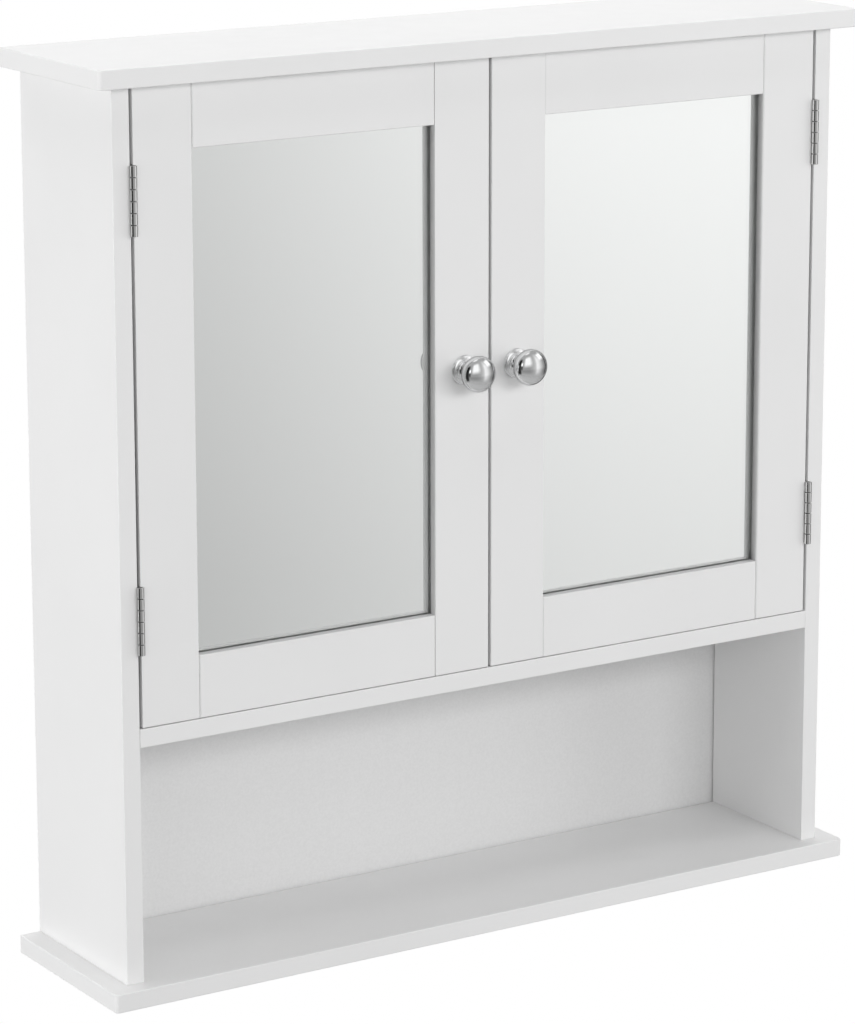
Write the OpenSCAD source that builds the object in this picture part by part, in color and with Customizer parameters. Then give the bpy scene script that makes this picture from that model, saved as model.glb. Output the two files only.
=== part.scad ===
// Hanging wall cabinet: two framed mirror doors above an open compartment.
//
// Every board, door member, fitting and screw is a separate solid.
// Millimetres, +Z up, +X to the right, the front faces -Y.
// The origin lies on the wall plane, midway between the two wall screw holes.

/* [Cabinet] */
// Overall width, across the top board
cabinet_w = 560; // [480:1:720]
// Overall depth, from the wall to the front of the top board
cabinet_d = 130; // [124:1:180]
// Overall height
cabinet_h = 580; // [540:1:760]
// Thickness of the painted boards
board_t = 12; // [12:0.5:16]
// Overhang of the top and bottom boards past each side panel
side_overhang = 14; // [6:1:30]
// Overhang of the top and bottom boards past the doors
front_overhang = 12; // [6:1:20]
// Radius of the front corners of the top and bottom boards
board_corner_r = 3; // [1:0.5:5]
// Clear height of the open compartment
open_h = 150; // [110:1:190]

/* [Back and wall fixing] */
// Thickness of the back panel
back_t = 3; // [2.5:0.1:4]
// Depth of the back panel grooves in the boards
groove_depth = 3; // [2:0.1:4]
// Shadow gap left in the groove in front of the back panel
back_reveal = 1.5; // [0.3:0.1:2]
// Thickness of the hanging rail behind the back panel
rail_t = 12; // [10:0.5:16]
// Height of the hanging rail
rail_h = 60; // [44:1:90]
// Diameter of the wall screw holes
wall_hole_d = 5.5; // [4.5:0.1:7]
// Distance of each wall screw hole from the side panel's inner face
wall_hole_inset = 54; // [34:1:100]

/* [Doors] */
// Thickness of the door frames
door_t = 15; // [14:0.5:18]
// Width of the upright stiles
stile_w = 40; // [34:1:60]
// Width of the door rails
door_rail_w = 40; // [34:1:60]
// Gap between the two doors
meeting_gap = 2.0; // [1.2:0.1:3.5]
// Gap above and below the doors
door_end_gap = 0.5; // [0.4:0.1:3]
// Length of the tongues on the rail ends
tongue_l = 10; // [6:1:14]
// Thickness of the tongues
tongue_t = 5; // [4:0.5:6]
// Distance of the tongues from the door face
tongue_setback = 5; // [4:0.5:6]
// Wood left above and below each tongue
tongue_margin = 3; // [2:0.5:4]

/* [Mirrors] */
// Depth of the mirror's surface behind the door face
mirror_recess = 5.6; // [5:0.1:7]
// Thickness of the mirror
mirror_t = 3; // [2.5:0.1:3.5]
// Width of the mirror hidden behind the door frame
mirror_lap = 7; // [4:0.5:9]
// Thickness of the backing board behind the mirror
backing_t = 3; // [2:0.1:3.2]
// Width of the land that the backing board is screwed to
backing_land = 7; // [6.5:0.5:9]
// Distance of the outer backing screws from the ends of the board
backing_screw_inset = 40; // [15:1:60]

/* [Knobs] */
// Distance of the knob's axis from the door's closing edge
knob_inset = 18.5; // [14:0.5:24]
// Largest diameter of the knob
knob_d = 23; // [18:0.5:30]
// Projection of the knob from the door face
knob_projection = 24; // [21:0.5:30]
// Diameter of the knob's foot
knob_foot_d = 19; // [16:0.5:24]
// Thickness of each of the two steps of the knob's foot
knob_foot_t = 1.6; // [1:0.1:2.5]
// Width of the step round the knob's foot
knob_foot_step = 2; // [1:0.1:2.4]
// Diameter of the knob's neck
knob_neck_d = 9; // [7:0.5:12]
// Height of the knob's head, from its underside to its tip
knob_head_h = 13.5; // [12:0.5:16]
// Height of the dome in front of the knob's widest circle
knob_dome_h = 7; // [6:0.5:10]
// Diameter of the knob's machine screw
knob_screw_d = 4; // [3.5:0.5:5]
// Depth of the screw inside the knob
knob_screw_grip = 9; // [6:1:12]

/* [Hinges] */
// Height of each hinge
hinge_h = 43; // [36:1:60]
// Number of knuckles on each hinge
knuckle_count = 6; // [4:2:8]
// Outer diameter of the hinge barrel
barrel_d = 4.4; // [4:0.1:5.5]
// Diameter of the hinge pin
hinge_pin_d = 2; // [1.5:0.1:2.5]
// Thickness of the hinge leaves
leaf_t = 0.9; // [0.7:0.05:1.2]
// Width of the hinge leaves behind the barrel
leaf_w = 13; // [11:0.5:13.5]
// Distance from the end of the door to the middle of the hinge
hinge_inset = 68; // [45:1:110]
// Distance between the two screws of a leaf
leaf_screw_spacing = 26; // [20:1:30]
// Diameter of the hinge screws
hinge_screw_d = 2.6; // [2:0.1:3]
// Length of the hinge screws
hinge_screw_l = 10; // [8:0.5:11]

/* [Adjustable shelf] */
// Space between the adjustable shelf and the backs of the doors
shelf_front_gap = 5; // [4:0.5:20]
// Thickness of the adjustable shelf
shelf_t = 12; // [9:0.5:16]
// Gap at each end of the adjustable shelf
shelf_end_gap = 1; // [0.5:0.1:2]
// Space between the adjustable shelf and the back panel
shelf_back_gap = 3; // [1:0.5:5]
// Diameter of the shelf pins
shelf_pin_d = 5; // [4:0.5:6]
// Depth of the shelf pin holes
shelf_pin_depth = 8; // [6:0.5:10]
// Length of the shelf pins inside the cabinet
shelf_pin_reach = 7; // [5:0.5:10]
// Distance of the shelf pins from the shelf's front and back edges
shelf_pin_inset = 16; // [8:1:24]
// Distance between the shelf pin holes of a row
shelf_pin_pitch = 32; // [20:1:50]
// Number of shelf pin holes in a row
shelf_pin_rows = 3; // [1:2:5]

/* [Fittings] */
// Diameter of the cam locks
cam_d = 12; // [10:0.5:15]
// Height of the cam locks
cam_h = 9.5; // [9:0.1:10]
// Distance of the cam locks from the joint
cam_inset = 24; // [18:1:30]
// Distance of the cams and screws from the edge of the board
fitting_inset = 24; // [22:1:30]
// Diameter of the cam bolt's shank and thread
cam_bolt_d = 4.5; // [4:0.1:5]
// Diameter of the cam bolt's head
cam_bolt_head_d = 6; // [5.5:0.1:6.5]
// Depth of the cam bolt's thread in the board
cam_bolt_depth = 8; // [7:0.5:9]
// Diameter of the dowels
dowel_d = 6; // [5:0.5:7]
// Length of the dowels
dowel_l = 24; // [20:1:30]
// Depth of the dowels in the face of a board
dowel_depth = 8; // [7:0.5:9]
// Distance between the two dowels of a joint
dowel_spacing = 24; // [16:1:26]
// Distance between the dowels in the ends of the hanging rail
rail_dowel_spacing = 30; // [20:1:34]
// Diameter of the screws through the bottom board
board_screw_d = 4; // [3.5:0.1:4.5]
// Length of the screws through the bottom board
board_screw_l = 40; // [34:1:50]

/* [Catch] */
// Width of the double magnetic catch
catch_w = 66; // [62:1:90]
// Depth of the catch
catch_d = 14; // [13:0.5:18]
// Height of the catch
catch_h = 12; // [11:0.5:14]
// Width of each magnet
magnet_w = 14; // [10:0.5:16]
// Height of each magnet
magnet_h = 7; // [5:0.5:8]
// Distance between the two screws of the catch
catch_screw_spacing = 14; // [10:1:16]
// Width of the strike plates
strike_w = 18; // [14:0.5:22]
// Height of the strike plates
strike_h = 10; // [8:0.5:12]
// Thickness of the strike plates
strike_t = 1; // [0.8:0.1:1.5]
// Diameter of the small screws of the catch, strikes and backing boards
small_screw_d = 2.5; // [2:0.1:3]

/* [Clearances] */
// Play around screws, bolts, dowels, cams and shelf pins in their holes
hole_fit = 0.1; // [0.05:0.05:0.2]
// Radial running play between the hinge pin and the knuckles
pin_play = 0.05; // [0.02:0.01:0.09]
// Play between neighbouring knuckles, and between knuckles and leaves
knuckle_play = 0.5; // [0.1:0.05:0.7]
// Space between the two closed leaves of a hinge
leaf_space = 0.2; // [0.1:0.05:0.4]
// Play of the back panel in its grooves
groove_fit = 0.3; // [0.2:0.1:0.5]
// Play around the mirror and the backing board in the door
glass_fit = 0.5; // [0.3:0.1:1]
// Play of the tongues in the stiles
tongue_fit = 0.1; // [0.05:0.05:0.3]
// Space between the magnets and the strike plates of the closed doors
catch_air = 0.3; // [0.3:0.1:0.6]

/* [Hidden] */

$fn = 48;
// Overlap that lets a cut pass cleanly through a face
eps = 0.5;
left = -1;
right = 1;

// Planes across the width, from the middle outwards
outer_x = cabinet_w / 2;
side_x = outer_x - side_overhang;
inner_x = side_x - board_t;
side_mid_x = side_x - board_t / 2;

// Planes from the wall to the front
front_y = -cabinet_d;
face_y = -(cabinet_d - front_overhang);
back_y = -(rail_t + back_t);
door_back_y = face_y + door_t;
rail_mid_y = -rail_t / 2;

// Planes up the height; zero is the height of the wall screws
base_z = -(cabinet_h - board_t - rail_h / 2);
floor_z = base_z + board_t;
shelf_z = floor_z + open_h;
cupboard_z = shelf_z + board_t;
ceiling_z = base_z + cabinet_h - board_t;
shelf_mid_z = shelf_z + board_t / 2;

// Rows of fittings, as distances from the wall
side_fit_ys = [face_y + fitting_inset, -fitting_inset];
shelf_fit_ys = [face_y + fitting_inset, back_y - fitting_inset];
function middle(pair) = (pair[0] + pair[1]) / 2;
function pair_about(centre, spacing) = [centre - spacing / 2, centre + spacing / 2];
side_dowel_ys = pair_about(middle(side_fit_ys), dowel_spacing);
shelf_dowel_ys = [middle(shelf_fit_ys)];
rail_dowel_zs = pair_about(0, rail_dowel_spacing);

// Doors
side_gap = 2 * leaf_t + leaf_space;
door_x = inner_x - side_gap;
door_z = cupboard_z + door_end_gap;
door_h = ceiling_z - door_end_gap - door_z;
close_x = meeting_gap / 2;
glass_x0 = close_x + stile_w;
glass_x1 = door_x - stile_w;
glass_z0 = door_z + door_rail_w;
glass_z1 = door_z + door_h - door_rail_w;
backing_lap = mirror_lap + backing_land;
mirror_y = face_y + mirror_recess;
backing_y = mirror_y + mirror_t;
backing_back_y = backing_y + backing_t;
tongue_w = door_rail_w - backing_lap - 2 * tongue_margin;
knob_x = close_x + knob_inset;
knob_z = door_z + door_h / 2;

// Hinges
axis_x = inner_x - side_gap / 2;
axis_y = face_y - barrel_d / 2;
hinge_low_z = door_z + hinge_inset;
hinge_high_z = door_z + door_h - hinge_inset;
leaf_screw_y = (barrel_d + leaf_w) / 2;
hinge_head_d = 2 * hinge_screw_d;
hinge_head_h = 1.2;

// Adjustable shelf
shelf_back_y = back_y - shelf_back_gap;
shelf_front_y = door_back_y + shelf_front_gap;
pin_ys = [shelf_front_y + shelf_pin_inset, shelf_back_y - shelf_pin_inset];
pin_z = (cupboard_z + ceiling_z) / 2 - shelf_pin_d;
pin_flat = shelf_pin_d * 0.3;
pin_flange_t = 1;
pin_flange_d = shelf_pin_d + 2.5;

// Small fasteners
cam_bolt_neck_d = 3.2;
cam_bolt_head_h = 3;
cam_bolt_collar_h = 1;
cam_slot_w = 1.6;
cam_slot_depth = 1.8;
board_screw_head_d = 8;
board_screw_head_h = 3;
small_head_d = 5;
small_head_h = 1.6;
backing_screw_l = 8;
catch_screw_l = 15;
strike_screw_l = 10;
knob_screw_head_d = 8;
knob_screw_head_h = 2.2;
drive_w = 0.8;
drive_depth = 0.8;

// Catch
catch_y = door_back_y + strike_t + catch_air;
magnet_setin = 0.2;
catch_wall = 1.5;
catch_mid_z = ceiling_z - catch_h / 2;
wall_hole_x = inner_x - wall_hole_inset;

// ---- Shapes shared by several pieces ----

// A box from one corner to the opposite one
module block(low, high) {
    translate(low) cube(high - low);
}

// The right-hand copy of a piece that is drawn on the left
module on_side(side) {
    if (side == left) children();
    else mirror([1, 0, 0]) children();
}

// Copies at every left and right pair of places
module at_both_sides() {
    for (side = [left, right]) on_side(side) children();
}

// A cross cut for a screwdriver, sunk into the plane z = 0
module cross_drive(size) {
    for (turn = [0, 90])
        rotate([0, 0, turn])
            translate([-size / 2, -drive_w / 2, -drive_depth]) cube([size, drive_w, drive_depth + eps]);
}

// A countersunk screw with its head's top at z = 0, pointing down
module flat_screw(d, length, head_d, head_h) {
    difference() {
        union() {
            translate([0, 0, -length]) cylinder(d = d, h = length);
            translate([0, 0, -head_h]) cylinder(d1 = d, d2 = head_d, h = head_h);
        }
        cross_drive(head_d * 0.6);
    }
}

// The hole for a countersunk screw, open at z = 0
module flat_screw_hole(d, length, head_d, head_h) {
    play = 2 * hole_fit;
    translate([0, 0, -length - hole_fit]) cylinder(d = d + play, h = length + hole_fit + eps);
    translate([0, 0, -head_h]) cylinder(d1 = d + play, d2 = head_d + play, h = head_h);
    cylinder(d = head_d + play, h = eps);
}

// A pan head screw whose head sits on z = 0, pointing down
module pan_screw(d, length, head_d, head_h) {
    difference() {
        union() {
            translate([0, 0, -length]) cylinder(d = d, h = length + head_h / 2);
            cylinder(d1 = head_d, d2 = head_d * 0.7, h = head_h);
        }
        translate([0, 0, head_h]) cross_drive(head_d * 0.5);
    }
}

// A plain round hole from z = 0 downwards
module hole(d, depth) {
    translate([0, 0, -depth - hole_fit]) cylinder(d = d + 2 * hole_fit, h = depth + hole_fit + eps);
}

// A fluted dowel standing on z = -seat, with chamfered ends
module dowel(seat) {
    chamfer = 1;
    translate([0, 0, -seat]) {
        cylinder(d1 = dowel_d - 2 * chamfer, d2 = dowel_d, h = chamfer);
        translate([0, 0, chamfer]) cylinder(d = dowel_d, h = dowel_l - 2 * chamfer);
        translate([0, 0, dowel_l - chamfer])
            cylinder(d1 = dowel_d, d2 = dowel_d - 2 * chamfer, h = chamfer);
    }
}

// A cam lock: its face at z = 0, its body below, its mouth towards +X
module cam_lock() {
    bolt_z = -board_t / 2;
    neck_gap = cam_bolt_neck_d + 2 * hole_fit;
    head_gap = cam_bolt_head_d + 2 * hole_fit;
    difference() {
        translate([0, 0, -cam_h]) cylinder(d = cam_d, h = cam_h);
        translate([0, -neck_gap / 2, bolt_z - neck_gap / 2]) cube([cam_d, neck_gap, neck_gap]);
        translate([-cam_bolt_head_h - hole_fit, 0, bolt_z]) rotate([0, 90, 0])
            cylinder(d = head_gap, h = cam_bolt_head_h + 2 * hole_fit);
        for (turn = [0, 90])
            rotate([0, 0, turn])
                translate([-cam_d * 0.36, -cam_slot_w / 2, -cam_slot_depth])
                    cube([cam_d * 0.72, cam_slot_w, cam_slot_depth + eps]);
    }
}

// The pocket for a cam lock, open at z = 0
module cam_pocket() {
    translate([0, 0, -cam_h - hole_fit])
        cylinder(d = cam_d + 2 * hole_fit, h = cam_h + hole_fit + eps);
}

// A cam bolt: thread below z = 0, shank and head above it
module cam_bolt() {
    head_low = cam_inset - hole_fit;
    neck_low = cam_inset - cam_d / 2 - 1;
    translate([0, 0, -cam_bolt_depth]) cylinder(d = cam_bolt_d, h = cam_bolt_depth + neck_low);
    cylinder(d = cam_bolt_head_d, h = cam_bolt_collar_h);
    translate([0, 0, neck_low]) cylinder(d = cam_bolt_neck_d, h = head_low - neck_low);
    translate([0, 0, head_low]) cylinder(d = cam_bolt_head_d, h = cam_bolt_head_h);
}

// The passage for a cam bolt in the end of a board, from z = 0 upwards
module cam_bolt_passage() {
    translate([0, 0, -eps]) cylinder(d = cam_bolt_head_d + 4 * hole_fit, h = cam_inset + eps);
}

// A board with rounded front corners; its back edge is on the wall plane
module overhanging_board(low_z) {
    r = board_corner_r;
    translate([0, 0, low_z]) linear_extrude(board_t) union() {
        translate([-outer_x, front_y + r]) square([2 * outer_x, -front_y - r]);
        translate([-outer_x + r, front_y]) square([2 * (outer_x - r), 2 * r]);
        for (x = [-outer_x + r, outer_x - r]) translate([x, front_y + r]) circle(r = r);
    }
}

// The ring of grooves that holds the back panel
module back_panel_space() {
    reach_x = inner_x + groove_depth;
    block([-reach_x, back_y - back_reveal, floor_z - groove_depth],
        [reach_x, -rail_t + hole_fit, ceiling_z + groove_depth]);
}

// ---- Carcass ----

module top_board() {
    color("white") difference() {
        overhanging_board(ceiling_z);
        back_panel_space();
        at_both_sides() {
            for (y = side_fit_ys)
                translate([-side_mid_x, y, ceiling_z]) mirror([0, 0, 1]) hole(cam_bolt_d, cam_bolt_depth);
            for (y = side_dowel_ys)
                translate([-side_mid_x, y, ceiling_z]) mirror([0, 0, 1]) hole(dowel_d, dowel_depth);
        }
        for (x = pair_about(0, catch_screw_spacing))
            translate([x, catch_y + catch_d / 2, ceiling_z]) mirror([0, 0, 1])
                hole(small_screw_d, catch_screw_l - catch_h + catch_wall);
    }
}

module bottom_board() {
    color("white") difference() {
        overhanging_board(base_z);
        back_panel_space();
        at_both_sides() {
            for (y = side_fit_ys)
                translate([-side_mid_x, y, base_z]) mirror([0, 0, 1])
                    flat_screw_hole(board_screw_d, board_t + eps, board_screw_head_d, board_screw_head_h);
            for (y = side_dowel_ys) translate([-side_mid_x, y, floor_z]) hole(dowel_d, dowel_depth);
        }
    }
}

// A side panel, drawn on the left
module side_panel() {
    difference() {
        block([-side_x, face_y, floor_z], [-inner_x, 0, ceiling_z]);
        back_panel_space();
        // Joint with the top board
        for (y = side_fit_ys) {
            translate([-side_mid_x, y, ceiling_z]) mirror([0, 0, 1]) cam_bolt_passage();
            translate([-inner_x, y, ceiling_z - cam_inset]) rotate([0, 90, 0]) cam_pocket();
        }
        for (y = side_dowel_ys)
            translate([-side_mid_x, y, ceiling_z]) hole(dowel_d, dowel_l - dowel_depth);
        // Joint with the bottom board
        for (y = side_fit_ys)
            translate([-side_mid_x, y, floor_z]) mirror([0, 0, 1])
                hole(board_screw_d, board_screw_l - board_t);
        for (y = side_dowel_ys)
            translate([-side_mid_x, y, floor_z]) mirror([0, 0, 1]) hole(dowel_d, dowel_l - dowel_depth);
        // Joint with the middle shelf
        for (y = shelf_fit_ys)
            translate([-inner_x, y, shelf_mid_z]) rotate([0, 90, 0]) hole(cam_bolt_d, cam_bolt_depth);
        for (y = shelf_dowel_ys)
            translate([-inner_x, y, shelf_mid_z]) rotate([0, 90, 0]) hole(dowel_d, dowel_depth);
        // Joint with the hanging rail
        for (z = rail_dowel_zs)
            translate([-inner_x, rail_mid_y, z]) rotate([0, 90, 0]) hole(dowel_d, dowel_depth);
        // Rows of shelf pin holes
        for (y = pin_ys, row = [0 : shelf_pin_rows - 1])
            translate([-inner_x, y, pin_z + (row - (shelf_pin_rows - 1) / 2) * shelf_pin_pitch])
                rotate([0, 90, 0]) hole(shelf_pin_d, shelf_pin_depth);
        // Hinge screws
        for (z = [hinge_low_z, hinge_high_z]) at_hinge(z) leaf_screw_holes();
    }
}

module left_side_panel() {
    color("white") side_panel();
}

module right_side_panel() {
    color("white") on_side(right) side_panel();
}

module middle_shelf() {
    color("white") difference() {
        block([-inner_x, face_y, shelf_z], [inner_x, back_y, cupboard_z]);
        at_both_sides() {
            for (y = shelf_fit_ys) {
                translate([-inner_x, y, shelf_mid_z]) rotate([0, 90, 0]) cam_bolt_passage();
                translate([-inner_x + cam_inset, y, cupboard_z]) cam_pocket();
            }
            for (y = shelf_dowel_ys)
                translate([-inner_x, y, shelf_mid_z]) rotate([0, -90, 0])
                    hole(dowel_d, dowel_l - dowel_depth);
        }
    }
}

module adjustable_shelf() {
    reach_x = inner_x - shelf_end_gap;
    low_z = pin_z + pin_flat;
    color("white")
        block([-reach_x, shelf_front_y, low_z], [reach_x, shelf_back_y, low_z + shelf_t]);
}

// One shelf pin: peg below z = 0, flange and flat-topped finger above it
module shelf_pin() {
    translate([0, 0, -shelf_pin_depth]) cylinder(d = shelf_pin_d, h = shelf_pin_depth);
    intersection() {
        union() {
            cylinder(d = pin_flange_d, h = pin_flange_t);
            cylinder(d = shelf_pin_d, h = shelf_pin_reach);
        }
        translate([-pin_flat, -pin_flange_d, -eps])
            cube([2 * pin_flange_d, 2 * pin_flange_d, shelf_pin_reach + 2 * eps]);
    }
}

module shelf_pins() {
    color("silver") at_both_sides()
        for (y = pin_ys) translate([-inner_x, y, pin_z]) rotate([0, 90, 0]) shelf_pin();
}

module back_panel() {
    reach_x = inner_x + groove_depth - groove_fit;
    extra = groove_depth - groove_fit;
    color("gainsboro") difference() {
        block([-reach_x, back_y, floor_z - extra], [reach_x, -rail_t, ceiling_z + extra]);
        wall_holes();
    }
}

// The wall screw holes, through the back panel and the hanging rail
module wall_holes() {
    for (x = [-wall_hole_x, wall_hole_x])
        translate([x, eps, 0]) rotate([90, 0, 0]) cylinder(d = wall_hole_d, h = rail_t + back_t + 2 * eps);
}

module hanging_rail() {
    color("white") difference() {
        block([-inner_x, -rail_t, ceiling_z - rail_h], [inner_x, 0, ceiling_z]);
        wall_holes();
        at_both_sides()
            for (z = rail_dowel_zs)
                translate([-inner_x, rail_mid_y, z]) rotate([0, -90, 0]) hole(dowel_d, dowel_l - dowel_depth);
    }
}

// ---- Fittings of the carcass ----

module top_cam_locks() {
    color("darkgray") at_both_sides()
        for (y = side_fit_ys)
            translate([-inner_x, y, ceiling_z - cam_inset]) rotate([0, 90, 0])
                rotate([0, 0, 180]) cam_lock();
}

module top_cam_bolts() {
    color("silver") at_both_sides()
        for (y = side_fit_ys) translate([-side_mid_x, y, ceiling_z]) mirror([0, 0, 1]) cam_bolt();
}

module top_dowels() {
    color("burlywood") at_both_sides()
        for (y = side_dowel_ys) translate([-side_mid_x, y, ceiling_z]) mirror([0, 0, 1]) dowel(dowel_depth);
}

module shelf_cam_locks() {
    color("darkgray") at_both_sides()
        for (y = shelf_fit_ys)
            translate([-inner_x + cam_inset, y, cupboard_z]) rotate([0, 0, 180]) cam_lock();
}

module shelf_cam_bolts() {
    color("silver") at_both_sides()
        for (y = shelf_fit_ys) translate([-inner_x, y, shelf_mid_z]) rotate([0, 90, 0]) cam_bolt();
}

module shelf_dowels() {
    color("burlywood") at_both_sides()
        for (y = shelf_dowel_ys) translate([-inner_x, y, shelf_mid_z]) rotate([0, 90, 0]) dowel(dowel_depth);
}

module bottom_screws() {
    color("silver") at_both_sides()
        for (y = side_fit_ys)
            translate([-side_mid_x, y, base_z]) mirror([0, 0, 1])
                flat_screw(board_screw_d, board_screw_l, board_screw_head_d, board_screw_head_h);
}

module bottom_dowels() {
    color("burlywood") at_both_sides()
        for (y = side_dowel_ys) translate([-side_mid_x, y, floor_z]) dowel(dowel_depth);
}

module rail_dowels() {
    color("burlywood") at_both_sides()
        for (z = rail_dowel_zs) translate([-inner_x, rail_mid_y, z]) rotate([0, 90, 0]) dowel(dowel_depth);
}

// ---- Magnetic catch ----

module catch_housing() {
    color("whitesmoke") difference() {
        block([-catch_w / 2, catch_y + magnet_setin, ceiling_z - catch_h],
            [catch_w / 2, catch_y + catch_d, ceiling_z]);
        at_both_sides() magnet_block(hole_fit);
        for (x = pair_about(0, catch_screw_spacing))
            translate([x, catch_y + catch_d / 2, ceiling_z - catch_h]) {
                translate([0, 0, -eps]) cylinder(d = small_screw_d + 2 * hole_fit, h = catch_h + 2 * eps);
                translate([0, 0, -eps]) cylinder(d = small_head_d + 2 * hole_fit, h = catch_wall + eps);
            }
    }
}

// A magnet, grown by a play on every side but its front
module magnet_block(play) {
    reach_x = magnet_w / 2 + play;
    reach_z = magnet_h / 2 + play;
    block([-knob_x - reach_x, catch_y, catch_mid_z - reach_z],
        [-knob_x + reach_x, catch_y + catch_d - catch_wall + play, catch_mid_z + reach_z]);
}

module catch_magnets() {
    color("dimgray") at_both_sides() magnet_block(0);
}

module catch_screws() {
    color("silver")
        for (x = pair_about(0, catch_screw_spacing))
            translate([x, catch_y + catch_d / 2, ceiling_z - catch_h + catch_wall]) mirror([0, 0, 1])
                pan_screw(small_screw_d, catch_screw_l - catch_wall, small_head_d, catch_wall);
}

// ---- Hinges, drawn with the pin on the Z axis and the side panel towards +X ----

knuckle_pitch = hinge_h / knuckle_count;

// Puts a hinge at its place on the left side
module at_hinge(z) {
    translate([-axis_x, axis_y, z]) mirror([1, 0, 0]) children();
}

// A leaf on the +X side of the pin; it holds every second knuckle from the first given
module hinge_leaf(first) {
    plate_x0 = leaf_space / 2;
    plate_y0 = barrel_d / 2 + knuckle_play;
    difference() {
        union() {
            block([plate_x0, plate_y0, -hinge_h / 2],
                [plate_x0 + leaf_t, barrel_d / 2 + leaf_w, hinge_h / 2]);
            for (k = [first : 2 : knuckle_count - 1])
                translate([0, 0, -hinge_h / 2 + k * knuckle_pitch + knuckle_play / 2]) {
                    cylinder(d = barrel_d, h = knuckle_pitch - knuckle_play);
                    translate([plate_x0, 0, 0])
                        cube([leaf_t, plate_y0 + knuckle_play, knuckle_pitch - knuckle_play]);
                }
        }
        translate([0, 0, -hinge_h]) cylinder(d = hinge_pin_d + 2 * pin_play, h = 2 * hinge_h);
        leaf_screw_holes();
    }
}

// Runs its children at the two screws of a leaf, head up along -X
module at_leaf_screws() {
    for (z = pair_about(0, leaf_screw_spacing))
        translate([leaf_space / 2, leaf_screw_y, z]) rotate([0, -90, 0]) children();
}

module leaf_screw_holes() {
    at_leaf_screws() flat_screw_hole(hinge_screw_d, hinge_screw_l, hinge_head_d, hinge_head_h);
}

module leaf_screws() {
    at_leaf_screws() flat_screw(hinge_screw_d, hinge_screw_l, hinge_head_d, hinge_head_h);
}

module hinge_pin(side, z) {
    end_recess = 0.3;
    color("silver") on_side(side) at_hinge(z)
        translate([0, 0, -hinge_h / 2 + end_recess]) cylinder(d = hinge_pin_d, h = hinge_h - 2 * end_recess);
}

module panel_leaf(side, z) {
    color("silver") on_side(side) at_hinge(z) hinge_leaf(0);
}

module door_leaf(side, z) {
    color("silver") on_side(side) at_hinge(z) mirror([1, 0, 0]) hinge_leaf(1);
}

module panel_hinge_screws(side) {
    color("silver") on_side(side)
        for (z = [hinge_low_z, hinge_high_z]) at_hinge(z) leaf_screws();
}

module door_hinge_screws(side) {
    color("silver") on_side(side)
        for (z = [hinge_low_z, hinge_high_z]) at_hinge(z) mirror([1, 0, 0]) leaf_screws();
}

// ---- Doors, drawn on the left ----

// The seats of the mirror and of the backing board, cut from behind
module door_pockets() {
    mirror_grow = mirror_lap + glass_fit;
    backing_grow = backing_lap + glass_fit;
    block([-glass_x1 - mirror_grow, mirror_y, glass_z0 - mirror_grow],
        [-glass_x0 + mirror_grow, backing_y + eps, glass_z1 + mirror_grow]);
    block([-glass_x1 - backing_grow, backing_y, glass_z0 - backing_grow],
        [-glass_x0 + backing_grow, door_back_y + eps, glass_z1 + backing_grow]);
}

// The tongue of a rail at both of its ends, grown by a play
module rail_tongues(rail_z, is_top, play) {
    low = rail_z + tongue_margin + (is_top ? backing_lap : 0);
    y0 = face_y + tongue_setback;
    block([-glass_x1 - tongue_l - play, y0 - play, low - play],
        [-glass_x0 + tongue_l + play, y0 + tongue_t + play, low + tongue_w + play]);
}

module door_tongues(play) {
    rail_tongues(door_z, false, play);
    rail_tongues(glass_z1, true, play);
}

// Runs its children at the backing board screws, head up along +Y
module at_backing_screws() {
    land = mirror_lap + glass_fit + (backing_land - glass_fit) / 2;
    x0 = -glass_x1 - land;
    x1 = -glass_x0 + land;
    z0 = glass_z0 - land;
    z1 = glass_z1 + land;
    for (x = [x0, x1], z = [z0 + backing_screw_inset, (z0 + z1) / 2, z1 - backing_screw_inset])
        translate([x, backing_back_y, z]) rotate([-90, 0, 0]) children();
    for (z = [z0, z1]) translate([(x0 + x1) / 2, backing_back_y, z]) rotate([-90, 0, 0]) children();
}

module stile(x0, x1) {
    difference() {
        block([x0, face_y, door_z], [x1, door_back_y, door_z + door_h]);
        door_pockets();
        door_tongues(tongue_fit);
        at_backing_screws() hole(small_screw_d, backing_screw_l);
        children();
    }
}

module hinge_stile(side) {
    color("white") on_side(side) stile(-door_x, -glass_x1)
        for (z = [hinge_low_z, hinge_high_z]) at_hinge(z) mirror([1, 0, 0]) leaf_screw_holes();
}

module closing_stile(side) {
    color("white") on_side(side) stile(-glass_x0, -close_x) {
        translate([-knob_x, door_back_y, knob_z]) rotate([-90, 0, 0]) hole(knob_screw_d, door_t + eps);
        at_strike_screw() hole(small_screw_d, strike_screw_l);
    }
}

module door_rail(side, rail_z, is_top) {
    color("white") on_side(side) difference() {
        union() {
            block([-glass_x1, face_y, rail_z], [-glass_x0, door_back_y, rail_z + door_rail_w]);
            rail_tongues(rail_z, is_top, 0);
        }
        door_pockets();
        at_backing_screws() hole(small_screw_d, backing_screw_l);
    }
}

module mirror_pane(side) {
    color("lightsteelblue") on_side(side)
        block([-glass_x1 - mirror_lap, mirror_y, glass_z0 - mirror_lap],
            [-glass_x0 + mirror_lap, backing_y, glass_z1 + mirror_lap]);
}

module backing_board(side) {
    color("gainsboro") on_side(side) difference() {
        block([-glass_x1 - backing_lap, backing_y, glass_z0 - backing_lap],
            [-glass_x0 + backing_lap, backing_back_y, glass_z1 + backing_lap]);
        at_backing_screws() hole(small_screw_d, backing_t + eps);
    }
}

module backing_screws(side) {
    color("silver") on_side(side)
        at_backing_screws() pan_screw(small_screw_d, backing_screw_l, small_head_d, small_head_h);
}

// ---- Knobs ----

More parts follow.
